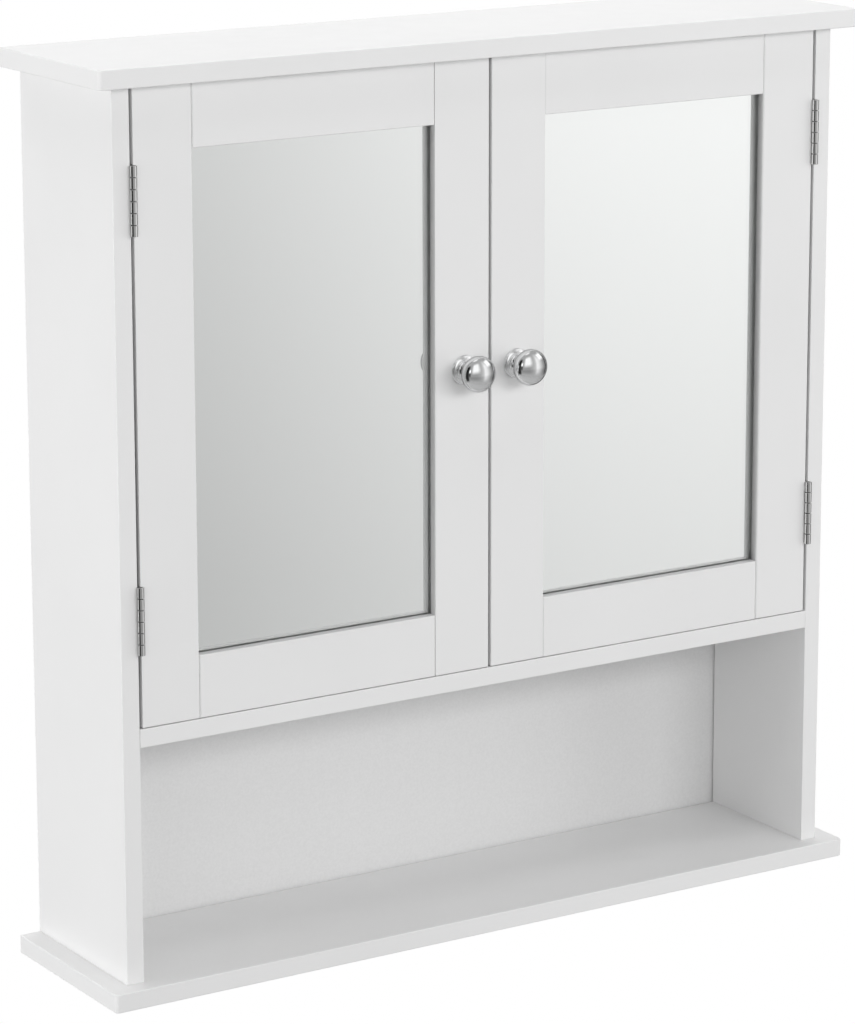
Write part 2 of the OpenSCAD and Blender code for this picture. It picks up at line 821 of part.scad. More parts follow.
// Points of an arc from one angle to another
function arc(centre, rx, ry, from, to, steps) = [
    for (i = [0 : steps])
        let (a = from + (to - from) * i / steps)
            [centre[0] + rx * cos(a), centre[1] + ry * sin(a)]
];

// The knob's half section: stepped foot, waist and domed head; y is the height above the door
module knob_section() {
    foot_r = knob_foot_d / 2;
    step_r = foot_r - knob_foot_step;
    waist_r = knob_neck_d / 2;
    edge_r = knob_foot_t / 2;
    foot_top = 2 * knob_foot_t;
    head_low = knob_projection - knob_head_h;
    waist_y = (foot_top + head_low) / 2;
    widest_y = knob_projection - knob_dome_h;
    cove = step_r - edge_r - waist_r;
    head_inner_r = waist_r + cove;
    polygon(concat(
        [[0, 0], [foot_r, 0]],
        arc([foot_r - edge_r, knob_foot_t - edge_r], edge_r, edge_r, 0, 90, 5),
        arc([step_r - edge_r, foot_top - edge_r], edge_r, edge_r, 0, 90, 5),
        arc([step_r - edge_r, waist_y], cove, waist_y - foot_top, -90, -180, 6),
        arc([head_inner_r, waist_y], cove, head_low - waist_y, 170, 90, 6),
        arc([head_inner_r, widest_y], knob_d / 2 - head_inner_r, widest_y - head_low, -80, 0, 8),
        arc([0, widest_y], knob_d / 2, knob_dome_h, 6, 90, 14)
    ));
}

module knob(side) {
    color("silver") on_side(side)
        translate([-knob_x, face_y, knob_z]) rotate([90, 0, 0]) difference() {
            rotate_extrude($fn = 64) knob_section();
            translate([0, 0, -eps])
                cylinder(d = knob_screw_d + 2 * hole_fit, h = knob_screw_grip + eps + hole_fit);
        }
}

module knob_screw(side) {
    color("silver") on_side(side)
        translate([-knob_x, door_back_y, knob_z]) rotate([-90, 0, 0])
            pan_screw(knob_screw_d, door_t + knob_screw_grip, knob_screw_head_d, knob_screw_head_h);
}

// ---- Strike plates ----

module at_strike_screw() {
    translate([-knob_x, door_back_y + strike_t, catch_mid_z]) rotate([-90, 0, 0]) children();
}

module strike_plate(side) {
    color("silver") on_side(side) difference() {
        block([-knob_x - strike_w / 2, door_back_y, catch_mid_z - strike_h / 2],
            [-knob_x + strike_w / 2, door_back_y + strike_t, catch_mid_z + strike_h / 2]);
        at_strike_screw() flat_screw_hole(small_screw_d, strike_screw_l, small_head_d, strike_t);
    }
}

module strike_screw(side) {
    color("silver") on_side(side)
        at_strike_screw() flat_screw(small_screw_d, strike_screw_l, small_head_d, strike_t);
}

top_board();
bottom_board();
left_side_panel();
right_side_panel();
middle_shelf();
adjustable_shelf();
shelf_pins();
back_panel();
hanging_rail();
top_cam_locks();
top_cam_bolts();
top_dowels();
shelf_cam_locks();
shelf_cam_bolts();
shelf_dowels();
bottom_screws();
bottom_dowels();
rail_dowels();
catch_housing();
catch_magnets();
catch_screws();
hinge_stile(left);  // left_hinge_stile
closing_stile(left);  // left_closing_stile
door_rail(left, glass_z1, true);  // left_top_rail
door_rail(left, door_z, false);  // left_bottom_rail
mirror_pane(left);  // left_mirror
backing_board(left);  // left_backing_board
backing_screws(left);  // left_backing_screws
knob(left);  // left_knob
knob_screw(left);  // left_knob_screw
strike_plate(left);  // left_strike_plate
strike_screw(left);  // left_strike_screw
hinge_stile(right);  // right_hinge_stile
closing_stile(right);  // right_closing_stile
door_rail(right, glass_z1, true);  // right_top_rail
door_rail(right, door_z, false);  // right_bottom_rail
mirror_pane(right);  // right_mirror
backing_board(right);  // right_backing_board
backing_screws(right);  // right_backing_screws
knob(right);  // right_knob
knob_screw(right);  // right_knob_screw
strike_plate(right);  // right_strike_plate
strike_screw(right);  // right_strike_screw
panel_leaf(left, hinge_high_z);  // left_top_panel_leaf
door_leaf(left, hinge_high_z);  // left_top_door_leaf
hinge_pin(left, hinge_high_z);  // left_top_hinge_pin
panel_leaf(left, hinge_low_z);  // left_bottom_panel_leaf
door_leaf(left, hinge_low_z);  // left_bottom_door_leaf
hinge_pin(left, hinge_low_z);  // left_bottom_hinge_pin
panel_leaf(right, hinge_high_z);  // right_top_panel_leaf
door_leaf(right, hinge_high_z);  // right_top_door_leaf
hinge_pin(right, hinge_high_z);  // right_top_hinge_pin
panel_leaf(right, hinge_low_z);  // right_bottom_panel_leaf
door_leaf(right, hinge_low_z);  // right_bottom_door_leaf
hinge_pin(right, hinge_low_z);  // right_bottom_hinge_pin
panel_hinge_screws(left);  // left_panel_hinge_screws
door_hinge_screws(left);  // left_door_hinge_screws
panel_hinge_screws(right);  // right_panel_hinge_screws
door_hinge_screws(right);  // right_door_hinge_screws
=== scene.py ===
"""Looks of a hanging wall cabinet: two framed mirror doors above an open compartment.

Everything is in metres in the cabinet's own frame: +Z up, +X to the right, the front faces -Y, and the
origin lies on the wall plane between the two wall screws. Boards, door members and stamped parts are
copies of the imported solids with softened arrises; panes, plain slabs and turned parts are surfaces
worked out here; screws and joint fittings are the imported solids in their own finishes.
"""

import logging
import math
from collections.abc import Mapping, Sequence
from dataclasses import dataclass
from enum import Enum
from typing import Any, Protocol

import bmesh
import bpy
import numpy as np
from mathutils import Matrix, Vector


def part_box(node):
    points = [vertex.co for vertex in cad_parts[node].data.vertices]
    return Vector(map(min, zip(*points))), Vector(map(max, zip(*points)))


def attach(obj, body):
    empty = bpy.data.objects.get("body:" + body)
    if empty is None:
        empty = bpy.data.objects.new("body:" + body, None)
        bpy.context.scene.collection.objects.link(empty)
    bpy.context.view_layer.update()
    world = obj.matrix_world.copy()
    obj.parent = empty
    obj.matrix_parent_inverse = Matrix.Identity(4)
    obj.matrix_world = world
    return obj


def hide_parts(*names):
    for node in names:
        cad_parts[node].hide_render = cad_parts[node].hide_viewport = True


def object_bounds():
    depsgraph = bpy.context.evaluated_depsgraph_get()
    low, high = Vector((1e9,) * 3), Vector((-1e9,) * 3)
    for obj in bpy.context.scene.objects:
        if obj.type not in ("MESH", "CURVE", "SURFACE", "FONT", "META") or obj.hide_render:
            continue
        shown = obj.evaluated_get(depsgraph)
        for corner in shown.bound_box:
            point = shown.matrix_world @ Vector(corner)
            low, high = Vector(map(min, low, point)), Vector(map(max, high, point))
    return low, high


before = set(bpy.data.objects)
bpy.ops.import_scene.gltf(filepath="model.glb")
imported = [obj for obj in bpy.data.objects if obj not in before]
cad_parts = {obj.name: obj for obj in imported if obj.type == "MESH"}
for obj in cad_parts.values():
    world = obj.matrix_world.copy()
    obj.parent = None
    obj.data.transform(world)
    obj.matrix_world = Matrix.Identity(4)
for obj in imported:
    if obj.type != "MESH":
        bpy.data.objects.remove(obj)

LOG = logging.getLogger("wall_cabinet")
CAD_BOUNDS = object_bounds()
MM = 0.001

# The two axes across each axis, in the order that turns anticlockwise about it
AXIS_PAIRS = ((1, 2), (2, 0), (0, 1))

# How far a point may lie from a surface that it belongs to, and from its own double
TOUCH = 0.01 * MM
WELD = 0.001 * MM

# Where most of a noise's values lie
NOISE_SPAN = (0.3, 0.7)

# The sockets of a Mix node that blends colours go by number, because their names repeat
MIX_FACTOR = 0
MIX_FIRST = 6
MIX_SECOND = 7
MIX_RESULT = 2

Colour = tuple[float, float, float]
Span = tuple[float, float]
Stretch = tuple[float, float, float]
Socket = bpy.types.NodeSocket
Piece = bpy.types.Object


class Side(Enum):
    """The side of the cabinet that a mirrored piece stands on; the value is its sign along X."""

    LEFT = -1
    RIGHT = 1

    @property
    def word(self) -> str:
        """The side's name, as it starts a node's name."""
        return self.name.lower()

    @property
    def door(self) -> str:
        """The body of the door on this side."""
        return f"{self.word}_door"


class Level(Enum):
    """Where on a door a hinge sits; the value starts the hinge's part of a node's name."""

    TOP = "top"
    BOTTOM = "bottom"


class Slot(Enum):
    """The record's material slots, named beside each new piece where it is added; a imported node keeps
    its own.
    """

    BOARD = "painted_board"
    DOOR_FRAME = "painted_door_frame"
    HARDBOARD = "papered_hardboard"
    MIRROR = "mirror_glass"
    CHROME = "chrome_plate"
    HINGE = "nickel_hinge"
    STEEL = "zinc_plated_steel"
    PLASTIC = "white_plastic"


# ---------------------------------------------------------------- node recipes


class NodeBench:
    """Lays out the nodes of one shader tree, so that a recipe reads as a list of steps."""

    def __init__(self, tree: bpy.types.NodeTree) -> None:
        """Starts on an emptied tree."""
        self.tree = tree
        tree.nodes.clear()

    def node(self, kind: str, **settings: Any) -> bpy.types.ShaderNode:
        """Adds a node.

        Args:
            kind: The node's type.
            **settings: The node's own settings.

        Returns:
            The node.
        """
        made = self.tree.nodes.new(kind)
        for name, value in settings.items():
            setattr(made, name, value)
        return made

    def feed(self, value: Socket | float, target: Socket) -> None:
        """Gives an input its value.

        Args:
            value: A socket to link to the input, or a number to set it to.
            target: The input.
        """
        if isinstance(value, (int, float)):
            target.default_value = value
        else:
            self.tree.links.new(value, target)

    def math(self, operation: str, first: Socket | float, second: Socket | float = 0.0) -> Socket:
        """Adds a Math node.

        Args:
            operation: What the node works out.
            first: Its first input.
            second: Its second input, for an operation that has two.

        Returns:
            The node's result.
        """
        made = self.node("ShaderNodeMath", operation=operation)
        self.feed(first, made.inputs[0])
        self.feed(second, made.inputs[1])
        return made.outputs[0]

    def passed(self, count: Socket) -> Socket:
        """1 once a ray's count of bounces of one kind has left 0, and 0 before."""
        return self.math("GREATER_THAN", count, 0.5)

    def spread(self, value: Socket, low: float, high: float, span: Span = NOISE_SPAN) -> Socket:
        """Stretches a value's span to run from low to high, and stops it there.

        Args:
            value: The value to stretch.
            low: Result at the span's start.
            high: Result at the span's end.
            span: Start and end of the value's own span.

        Returns:
            The stretched value.
        """
        ranged = self.node("ShaderNodeMapRange")
        limits = {"From Min": span[0], "From Max": span[1], "To Min": low, "To Max": high}
        for label, limit in limits.items():
            ranged.inputs[label].default_value = limit
        self.feed(value, ranged.inputs["Value"])
        return ranged.outputs[0]

    def ramp(self, value: Socket, span: Span, stops: dict[float, float]) -> Socket:
        """Reads a curve of greys.

        Args:
            value: Where on the curve to read.
            span: The values at the curve's left and right end.
            stops: Grey at each value, with straight runs between them.

        Returns:
            The grey, as a colour socket.
        """
        start, end = span
        halfway = 0.5
        made = self.node("ShaderNodeValToRGB")
        elements = made.color_ramp.elements
        while len(elements) < len(stops):
            elements.new(halfway)
        for element, (place, grey) in zip(elements, stops.items()):
            element.position = (place - start) / (end - start)
            element.color = (grey, grey, grey, 1.0)
        self.feed(self.spread(value, 0.0, 1.0, span), made.inputs[0])
        return made.outputs[0]

    def blend(
        self,
        factor: Socket | float,
        first: Socket | Colour,
        second: Socket | Colour,
        way: str = "MIX",
    ) -> Socket:
        """Blends two colours, each a socket or a plain colour.

        Args:
            factor: How far the blend goes, from 0 to 1.
            first: The colour at 0.
            second: The colour that is blended with it.
            way: How the node blends them; MIX gives the second colour at 1.

        Returns:
            The blend.
        """
        mix = self.node("ShaderNodeMix", data_type="RGBA", blend_type=way)
        self.feed(factor, mix.inputs[MIX_FACTOR])
        for number, colour in ((MIX_FIRST, first), (MIX_SECOND, second)):
            if isinstance(colour, tuple):
                mix.inputs[number].default_value = (*colour, 1.0)
            else:
                self.feed(colour, mix.inputs[number])
        return mix.outputs[MIX_RESULT]


class Recipe(NodeBench):
    """A finish in the making: one Principled shader and the patterns that feed it."""

    def __init__(self, name: str, constants: dict[str, float | tuple[float, ...]]) -> None:
        """Starts a material.

        Args:
            name: Name of the material.
            constants: Values for the shader's own sockets.
        """
        self.material = bpy.data.materials.new(name)
        self.material.use_nodes = True
        super().__init__(self.material.node_tree)
        self.shader = self.node("ShaderNodeBsdfPrincipled")
        out = self.node("ShaderNodeOutputMaterial")
        self.feed(self.shader.outputs[0], out.inputs[0])
        self.place = self.node("ShaderNodeTexCoord").outputs["Object"]
        for socket, value in constants.items():
            self.shader.inputs[socket].default_value = value

    def noise(self, size: float, detail: float = 2.0, stretch: Stretch = (1.0, 1.0, 1.0)) -> Socket:
        """Adds a cloudy pattern on the piece's own coordinates.

        Args:
            size: Width of one cloud, in metres.
            detail: Octaves of finer clouds inside it.
            stretch: How many times longer the clouds are along X, Y and Z.

        Returns:
            The pattern's value.
        """
        mapping = self.node("ShaderNodeMapping")
        mapping.inputs["Scale"].default_value = [1.0 / (size * factor) for factor in stretch]
        self.feed(self.place, mapping.inputs["Vector"])
        cloud = self.node("ShaderNodeTexNoise")
        cloud.inputs["Scale"].default_value = 1.0
        cloud.inputs["Detail"].default_value = detail
        self.feed(mapping.outputs[0], cloud.inputs["Vector"])
        return cloud.outputs[0]

    def tint(self, pattern: Socket, first: Colour, second: Colour) -> None:
        """Lets a pattern carry the base colour from the first colour to the second."""
        blended = self.blend(self.spread(pattern, 0.0, 1.0), first, second)
        self.feed(blended, self.shader.inputs["Base Color"])

    def roughness(self, pattern: Socket, low: float, high: float) -> None:
        """Lets a pattern carry the shader's roughness from low to high."""
        self.feed(self.spread(pattern, low, high), self.shader.inputs["Roughness"])

    def relief(self, height: Socket, depth: float) -> None:
        """Adds a relief, on top of any relief before it.

        Args:
            height: The relief's height, where 1 is the top of a hill.
            depth: How high the hills stand, in metres.
        """
        bump = self.node("ShaderNodeBump")
        bump.inputs["Strength"].default_value = 1.0
        bump.inputs["Distance"].default_value = depth
        self.feed(height, bump.inputs["Height"])
        normal = self.shader.inputs["Normal"]
        if normal.is_linked:
            self.feed(normal.links[0].from_socket, bump.inputs["Normal"])
        self.feed(bump.outputs[0], normal)


def shades(colour: Colour, span: Span) -> tuple[Colour, Colour]:
    """The same colour at two brightnesses, each so many times its own."""
    return tuple(tuple(channel * factor for channel in colour) for factor in span)


def plain_grey(level: float) -> Colour:
    """The grey of this brightness."""
    return (level, level, level)


# ---------------------------------------------------------------- finishes


@dataclass(frozen=True)
class SatinPaint:
    """Sprayed satin paint on fibreboard: faint mottling, fine orange peel and a long soft wave."""

    name: str
    colour: Colour = (0.80, 0.80, 0.80)
    mottle: float = 120.0 * MM
    shading: Span = (0.985, 1.01)
    cloud: float = 20.0 * MM
    gloss: Span = (0.36, 0.46)
    peel: float = 1.1 * MM
    peel_depth: float = 0.004 * MM
    wave: float = 30.0 * MM
    wave_depth: float = 0.02 * MM

    def make(self) -> bpy.types.Material:
        """Builds the material.

        Returns:
            The material.
        """
        recipe = Recipe(self.name, {"IOR": 1.5})
        recipe.tint(recipe.noise(self.mottle, detail=3.0), *shades(self.colour, self.shading))
        recipe.roughness(recipe.noise(self.cloud, detail=3.0), *self.gloss)
        recipe.relief(recipe.noise(self.wave, detail=1.0), self.wave_depth)
        recipe.relief(recipe.noise(self.peel), self.peel_depth)
        return recipe.material


@dataclass(frozen=True)
class Paper:
    """Matt white paper pressed on hardboard: a felted speckle."""

    name: str
    colour: Colour = (0.76, 0.76, 0.76)
    speckle: float = 1.6 * MM
    shading: Span = (0.97, 1.02)
    cloud: float = 6.0 * MM
    gloss: Span = (0.6, 0.72)
    felt: float = 1.3 * MM
    felt_depth: float = 0.02 * MM

    def make(self) -> bpy.types.Material:
        """Builds the material.

        Returns:
            The material.
        """
        recipe = Recipe(self.name, {"IOR": 1.45})
        recipe.tint(recipe.noise(self.speckle, detail=4.0), *shades(self.colour, self.shading))
        recipe.roughness(recipe.noise(self.cloud), *self.gloss)
        recipe.relief(recipe.noise(self.felt, detail=3.0), self.felt_depth)
        return recipe.material


@dataclass(frozen=True)
class Hardboard:
    """Bare brown hardboard: pressed fibres under a smooth skin."""

    name: str
    dark: Colour = (0.21, 0.125, 0.065)
    pale: Colour = (0.34, 0.215, 0.12)
    fibre: float = 2.2 * MM
    fibre_run: Stretch = (2.5, 1.0, 1.0)
    fibre_depth: float = 0.03 * MM
    cloud: float = 5.0 * MM
    gloss: Span = (0.48, 0.66)

    def make(self) -> bpy.types.Material:
        """Builds the material.

        Returns:
            The material.
        """
        recipe = Recipe(self.name, {"IOR": 1.5})
        fibre = recipe.noise(self.fibre, detail=6.0, stretch=self.fibre_run)
        recipe.tint(fibre, self.dark, self.pale)
        recipe.roughness(recipe.noise(self.cloud, detail=3.0), *self.gloss)
        recipe.relief(fibre, self.fibre_depth)
        return recipe.material


@dataclass(frozen=True)
class Beech:
    """Bare beech of the dowels: straight grain with short dark flecks."""

    name: str
    dark: Colour = (0.50, 0.33, 0.18)
    pale: Colour = (0.72, 0.53, 0.33)
    grain: float = 0.6 * MM
    grain_run: Stretch = (8.0, 1.0, 8.0)
    grain_depth: float = 0.02 * MM
    gloss: Span = (0.55, 0.75)

    def make(self) -> bpy.types.Material:
        """Builds the material.

        Returns:
            The material.
        """
        recipe = Recipe(self.name, {"IOR": 1.5})
        grain = recipe.noise(self.grain, detail=4.0, stretch=self.grain_run)
        recipe.tint(grain, self.dark, self.pale)
        recipe.roughness(grain, *self.gloss)
        recipe.relief(grain, self.grain_depth)
        return recipe.material


@dataclass(frozen=True)
class Plating:
    """Bright metal plating: clouds in the polish, fine scratches, and a rim as bright as edge says."""

    name: str
    colour: Colour
    gloss: Span
    cloud: float = 3.0 * MM
    patina: float = 0.96
    edge: float = 1.0
    scratch: float = 0.25 * MM
    scratch_run: Stretch = (1.0, 1.0, 1.0)
    scratch_depth: float = 0.0004 * MM

    def make(self) -> bpy.types.Material:
        """Builds the material.

        Returns:
            The material.
        """
        rim = (*plain_grey(self.edge), 1.0)
        recipe = Recipe(self.name, {"Metallic": 1.0, "Specular Tint": rim})
        clouds = recipe.noise(self.cloud, detail=4.0)
        recipe.tint(clouds, *shades(self.colour, (self.patina, 1.0)))
        recipe.roughness(clouds, *self.gloss)
        scratches = recipe.noise(self.scratch, detail=3.0, stretch=self.scratch_run)
        recipe.relief(scratches, self.scratch_depth)
        return recipe.material


@dataclass(frozen=True)
class CastMetal:
    """Die-cast zinc: dull grey with a sandy skin."""

    name: str
    colour: Colour = (0.47, 0.47, 0.48)
    shading: Span = (0.85, 1.0)
    gloss: Span = (0.38, 0.55)
    sand: float = 0.5 * MM
    sand_depth: float = 0.02 * MM

    def make(self) -> bpy.types.Material:
        """Builds the material.

        Returns:
            The material.
        """
        recipe = Recipe(self.name, {"Metallic": 1.0})
        sand = recipe.noise(self.sand, detail=4.0)
        recipe.tint(sand, *shades(self.colour, self.shading))
        recipe.roughness(sand, *self.gloss)
        recipe.relief(sand, self.sand_depth)
        return recipe.material


@dataclass(frozen=True)
class Moulding:
    """A moulded part: even colour and a fine skin."""

    name: str
    colour: Colour
    gloss: Span
    shading: Span = (0.97, 1.0)
    cloud: float = 4.0 * MM
    grit: float = 0.2 * MM
    grit_depth: float = 0.004 * MM

    def make(self) -> bpy.types.Material:
        """Builds the material.

        Returns:
            The material.
        """
        recipe = Recipe(self.name, {"IOR": 1.5})
        cloud = recipe.noise(self.cloud)
        recipe.tint(cloud, *shades(self.colour, self.shading))
        recipe.roughness(cloud, *self.gloss)
        recipe.relief(recipe.noise(self.grit), self.grit_depth)
        return recipe.material


@dataclass(frozen=True)
class FloatGlass:
    """Clear float glass with a slight green cast."""

    name: str
    cast: Colour = (0.975, 0.99, 0.985)
    shading: Span = (1.0, 1.005)
    cloud: float = 200.0 * MM

    def make(self) -> bpy.types.Material:
        """Builds the material.

        Returns:
            The material.
        """
        recipe = Recipe(self.name, {"IOR": 1.52, "Transmission Weight": 1.0, "Roughness": 0.0})
        recipe.tint(recipe.noise(self.cloud, detail=1.0), *shades(self.cast, self.shading))
        return recipe.material


@dataclass(frozen=True)
class Silvering:
    """The silver coat behind the glass, seen from inside the pane."""

    name: str
    colour: Colour = (0.945, 0.945, 0.94)
    shading: Span = (0.997, 1.0)
    gloss: Span = (0.0, 0.012)
    cloud: float = 150.0 * MM

    def make(self) -> bpy.types.Material:
        """Builds the material.

        Returns:
            The material.
        """
        recipe = Recipe(self.name, {"Metallic": 1.0})
        cloud = recipe.noise(self.cloud, detail=1.0)
        recipe.tint(cloud, *shades(self.colour, self.shading))
        recipe.roughness(cloud, *self.gloss)
        return recipe.material


class Finish(Enum):
    """Every finish on the cabinet; the value's make method builds its material."""

    BOARD_PAINT = SatinPaint("board_paint")
    DOOR_PAINT = SatinPaint("door_paint", wave=22.0 * MM)
    PAPER = Paper("hardboard_paper")
    HARDBOARD = Hardboard("bare_hardboard")
    BEECH = Beech("beech")
    GLASS = FloatGlass("float_glass")
    SILVER = Silvering("mirror_silver")
    CHROME = Plating("polished_chrome", (0.90, 0.905, 0.91), (0.05, 0.09), edge=0.25)
    NICKEL = Plating(
        "bright_nickel", (0.90, 0.90, 0.895), (0.04, 0.07), edge=0.3, scratch_run=(1.0, 1.0, 6.0)
    )
    # Steel for the hinge pins, painted far darker than bare steel so that it stands for the shade in the
    # gaps between the knuckles
    STEEL = Plating("plain_steel", (0.16, 0.16, 0.165), (0.3, 0.4), patina=0.8)
    ZINC = Plating("bright_zinc", (0.66, 0.67, 0.68), (0.22, 0.36), cloud=1.2 * MM, patina=0.85)
    CAST_ZINC = CastMetal("cast_zinc")
    WHITE_PLASTIC = Moulding("moulded_white", (0.80, 0.80, 0.785), (0.34, 0.44))
    FERRITE = Moulding("ferrite", (0.09, 0.09, 0.095), (0.5, 0.65))


class FinishStore:
    """Makes each finish once, at its first use."""

    def __init__(self) -> None:
        """Starts empty."""
        self.made: dict[Finish, bpy.types.Material] = {}

    def get(self, finish: Finish) -> bpy.types.Material:
        """Finds a finish's material, and makes it if nothing has needed it yet.

        Args:
            finish: The finish.

        Returns:
            Its material.
        """
        if finish not in self.made:
            self.made[finish] = finish.value.make()
        return self.made[finish]

    def dress(self, piece: Piece, *finishes: Finish) -> None:
        """Gives a new piece these finishes, in the order that its faces number them."""
        for finish in finishes:
            piece.data.materials.append(self.get(finish))


# ---------------------------------------------------------------- surfaces


def arc(start: float, end: float, steps: int) -> np.ndarray:
    """Points on a unit circle from one angle to another, in degrees, as rows of cosine and sine."""
    angles = np.radians(np.linspace(start, end, steps + 1))
    return np.stack([np.cos(angles), np.sin(angles)], axis=-1)


def smooth(mesh: bpy.types.Mesh, sharp_above: float = 32.0) -> None:
    """Shades a mesh smooth but for its sharp edges.

    Args:
        mesh: The mesh.
        sharp_above: Edges that turn by more than this many degrees stay sharp.
    """
    mesh.shade_smooth()
    mesh.set_sharp_from_angle(angle=math.radians(sharp_above))
    if "sharp_face" not in mesh.attributes:
        mesh.attributes.new("sharp_face", "BOOLEAN", "FACE")


class Skin:
    """One closed surface, gathered from whole grids of points."""

    def __init__(self) -> None:
        """Starts with no point and no face."""
        self.points: list[np.ndarray] = []
        self.faces: list[tuple[np.ndarray, int, bool]] = []
        self.count = 0

    def add_points(self, points: np.ndarray) -> np.ndarray:
        """Adds points.

        Args:
            points: Array whose last axis is x, y, z.

        Returns:
            Array of each point's number, with the same shape but for that axis.
        """
        numbers = self.count + np.arange(points[..., 0].size).reshape(points.shape[:-1])
        self.points.append(points.reshape(-1, 3))
        self.count += numbers.size
        return numbers

    def add_faces(self, corners: np.ndarray, finish: int = 0, flat: bool = False) -> None:
        """Adds faces.

        Args:
            corners: Each row holds one face's corners, anticlockwise seen from outside.
            finish: Which of the piece's finishes the faces have.
            flat: True for faces that are shaded flat.
        """
        self.faces.append((corners, finish, flat))

    def add_rings(self, rings: np.ndarray) -> None:
        """Adds the quads between closed rings.

        Args:
            rings: Each row holds the numbers of one ring's points, anticlockwise, below the next ring.
        """
        follow = np.roll(rings, -1, axis=1)
        quads = np.stack([rings[:-1], follow[:-1], follow[1:], rings[1:]], axis=-1)
        self.add_faces(quads.reshape(-1, 4))

    def add_pole(self, ring: np.ndarray, pole: int, upper: bool) -> None:
        """Closes a ring onto a pole with triangles.

        Args:
            ring: Numbers of the ring's points, anticlockwise.
            pole: Number of the pole's point.
            upper: True if the pole lies above the ring.
        """
        follow = np.roll(ring, -1)
        pair = (ring, follow) if upper else (follow, ring)
        self.add_faces(np.stack([*pair, np.full_like(ring, pole)], axis=-1))

    def build(self, name: str) -> Piece:
        """Puts the surface into a mesh object at the origin.

        Args:
            name: The object's name.

        Returns:
            The object.
        """
        mesh = bpy.data.meshes.new(name)
        corners, finishes, flats = zip(*self.faces)
        counts = [len(rows) for rows in corners]
        sizes = np.repeat([rows.shape[1] for rows in corners], counts)
        mesh.vertices.add(self.count)
        mesh.vertices.foreach_set("co", np.concatenate(self.points).ravel())
        mesh.loops.add(int(sizes.sum()))
        mesh.loops.foreach_set("vertex_index", np.concatenate([rows.ravel() for rows in corners]))
        mesh.polygons.add(len(sizes))
        mesh.polygons.foreach_set("loop_start", np.cumsum(sizes) - sizes)
        mesh.polygons.foreach_set("material_index", np.repeat(finishes, counts))
        mesh.update(calc_edges=True)
        smooth(mesh)
        mesh.attributes["sharp_face"].data.foreach_set("value", np.repeat(flats, counts))
        piece = bpy.data.objects.new(name, mesh)
        bpy.context.scene.collection.objects.link(piece)
        return piece


@dataclass(frozen=True)
class Slab:
    """A flat piece with rounded corners and softened arrises.

    One parameter runs round a rounded rectangle. The other runs across the edge: a quarter circle, the
    flat side and a quarter circle, each ring being the outline moved inwards. Two flat faces close it.
    """

    low: np.ndarray
    high: np.ndarray
    thin: int
    arris: float
    corner: float
    steps: int = 4

    def outline(self, inset: np.ndarray) -> np.ndarray:
        """The rounded rectangle, moved inwards.

        Each corner is a quarter circle about a fixed centre, whose radius shortens by the inset.

        Args:
            inset: How far each ring is moved inwards.

        Returns:
            Array of rings by points by the two coordinates across the thin axis.
        """
        pair = list(AXIS_PAIRS[self.thin])
        half = (self.high - self.low)[pair] / 2
        signs = np.array([[1, 1], [-1, 1], [-1, -1], [1, -1]])
        centres = np.repeat(signs * (half - self.corner), self.steps + 1, axis=0)
        turns = np.concatenate([arc(90 * k, 90 * (k + 1), self.steps) for k in range(4)])
        return centres + turns * (self.corner - inset)[:, None, None]

    def skin(self, front: int = 0, back: int = 0) -> Skin:
        """Works out the closed surface.

        Args:
            front: Finish number of the face on the thin axis's low side; the sides have 0.
            back: Finish number of the face on its high side.

        Returns:
            The surface.
        """
        quarter = self.arris * (1 - arc(0, 90, self.steps))
        inset = np.concatenate([quarter[::-1, 0], quarter[:, 0]])
        level = (self.high - self.low)[self.thin] / 2 - quarter[:, 1]
        grid = np.empty((len(inset), 4 * (self.steps + 1), 3))
        grid[..., AXIS_PAIRS[self.thin]] = self.outline(inset)
        grid[..., self.thin] = np.concatenate([-level[::-1], level])[:, None]
        made = Skin()
        rings = made.add_points(grid + (self.low + self.high) / 2)
        made.add_rings(rings)
        made.add_faces(rings[:1, ::-1], front, flat=True)
        made.add_faces(rings[-1:], back, flat=True)
        return made


@dataclass(frozen=True)
class Turning:
    """A surface of revolution along an axis.

    Each point of the half section, a radius and a height above the foot, runs round a full circle. The
    section's two ends lie on the axis and become poles.
    """

    foot: np.ndarray
    axis: int
    direction: int
    section: np.ndarray
    steps: int = 96

    def skin(self) -> Skin:
        """Works out the closed surface.

        Returns:
            The surface.
        """
        radius, height = self.section[1:-1].T
        turn = arc(0, 360, self.steps)[:-1] * [1, self.direction]
        grid = np.empty((len(radius), self.steps, 3))
        grid[..., AXIS_PAIRS[self.axis]] = radius[:, None, None] * turn
        grid[..., self.axis] = self.direction * height[:, None]
        poles = np.zeros((2, 3))
        poles[:, self.axis] = self.direction * self.section[[0, -1], 1]
        made = Skin()
        rings = made.add_points(grid + self.foot)
        ends = made.add_points(poles + self.foot)
        made.add_rings(rings)
        made.add_pole(rings[0], ends[0], upper=False)
        made.add_pole(rings[-1], ends[1], upper=True)
        return made


# ---------------------------------------------------------------- softened copies


class Surface(Protocol):
    """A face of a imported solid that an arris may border, and how much of the softening it takes."""

    share: float

    def holds(self, points: np.ndarray) -> np.ndarray:
        """True for each point that lies on the surface."""


@dataclass(frozen=True)
class Plane:
    """A plane across an axis; reach widens it over the round corners next to it."""

    axis: int
    position: float
    share: float = 1.0
    reach: float = TOUCH

    def holds(self, points: np.ndarray) -> np.ndarray:
        """True for each point within reach of the plane."""
        return np.abs(points[:, self.axis] - self.position) <= self.reach


@dataclass(frozen=True)
class Barrel:
    """A round wall about a line along Z."""

    x: float
    y: float
    radius: float
    share: float = 1.0
    reach: float = 2 * TOUCH

    def holds(self, points: np.ndarray) -> np.ndarray:
        """True for each point within reach of the wall."""
        away = np.hypot(points[:, 0] - self.x, points[:, 1] - self.y)
        return np.abs(away - self.radius) < self.reach


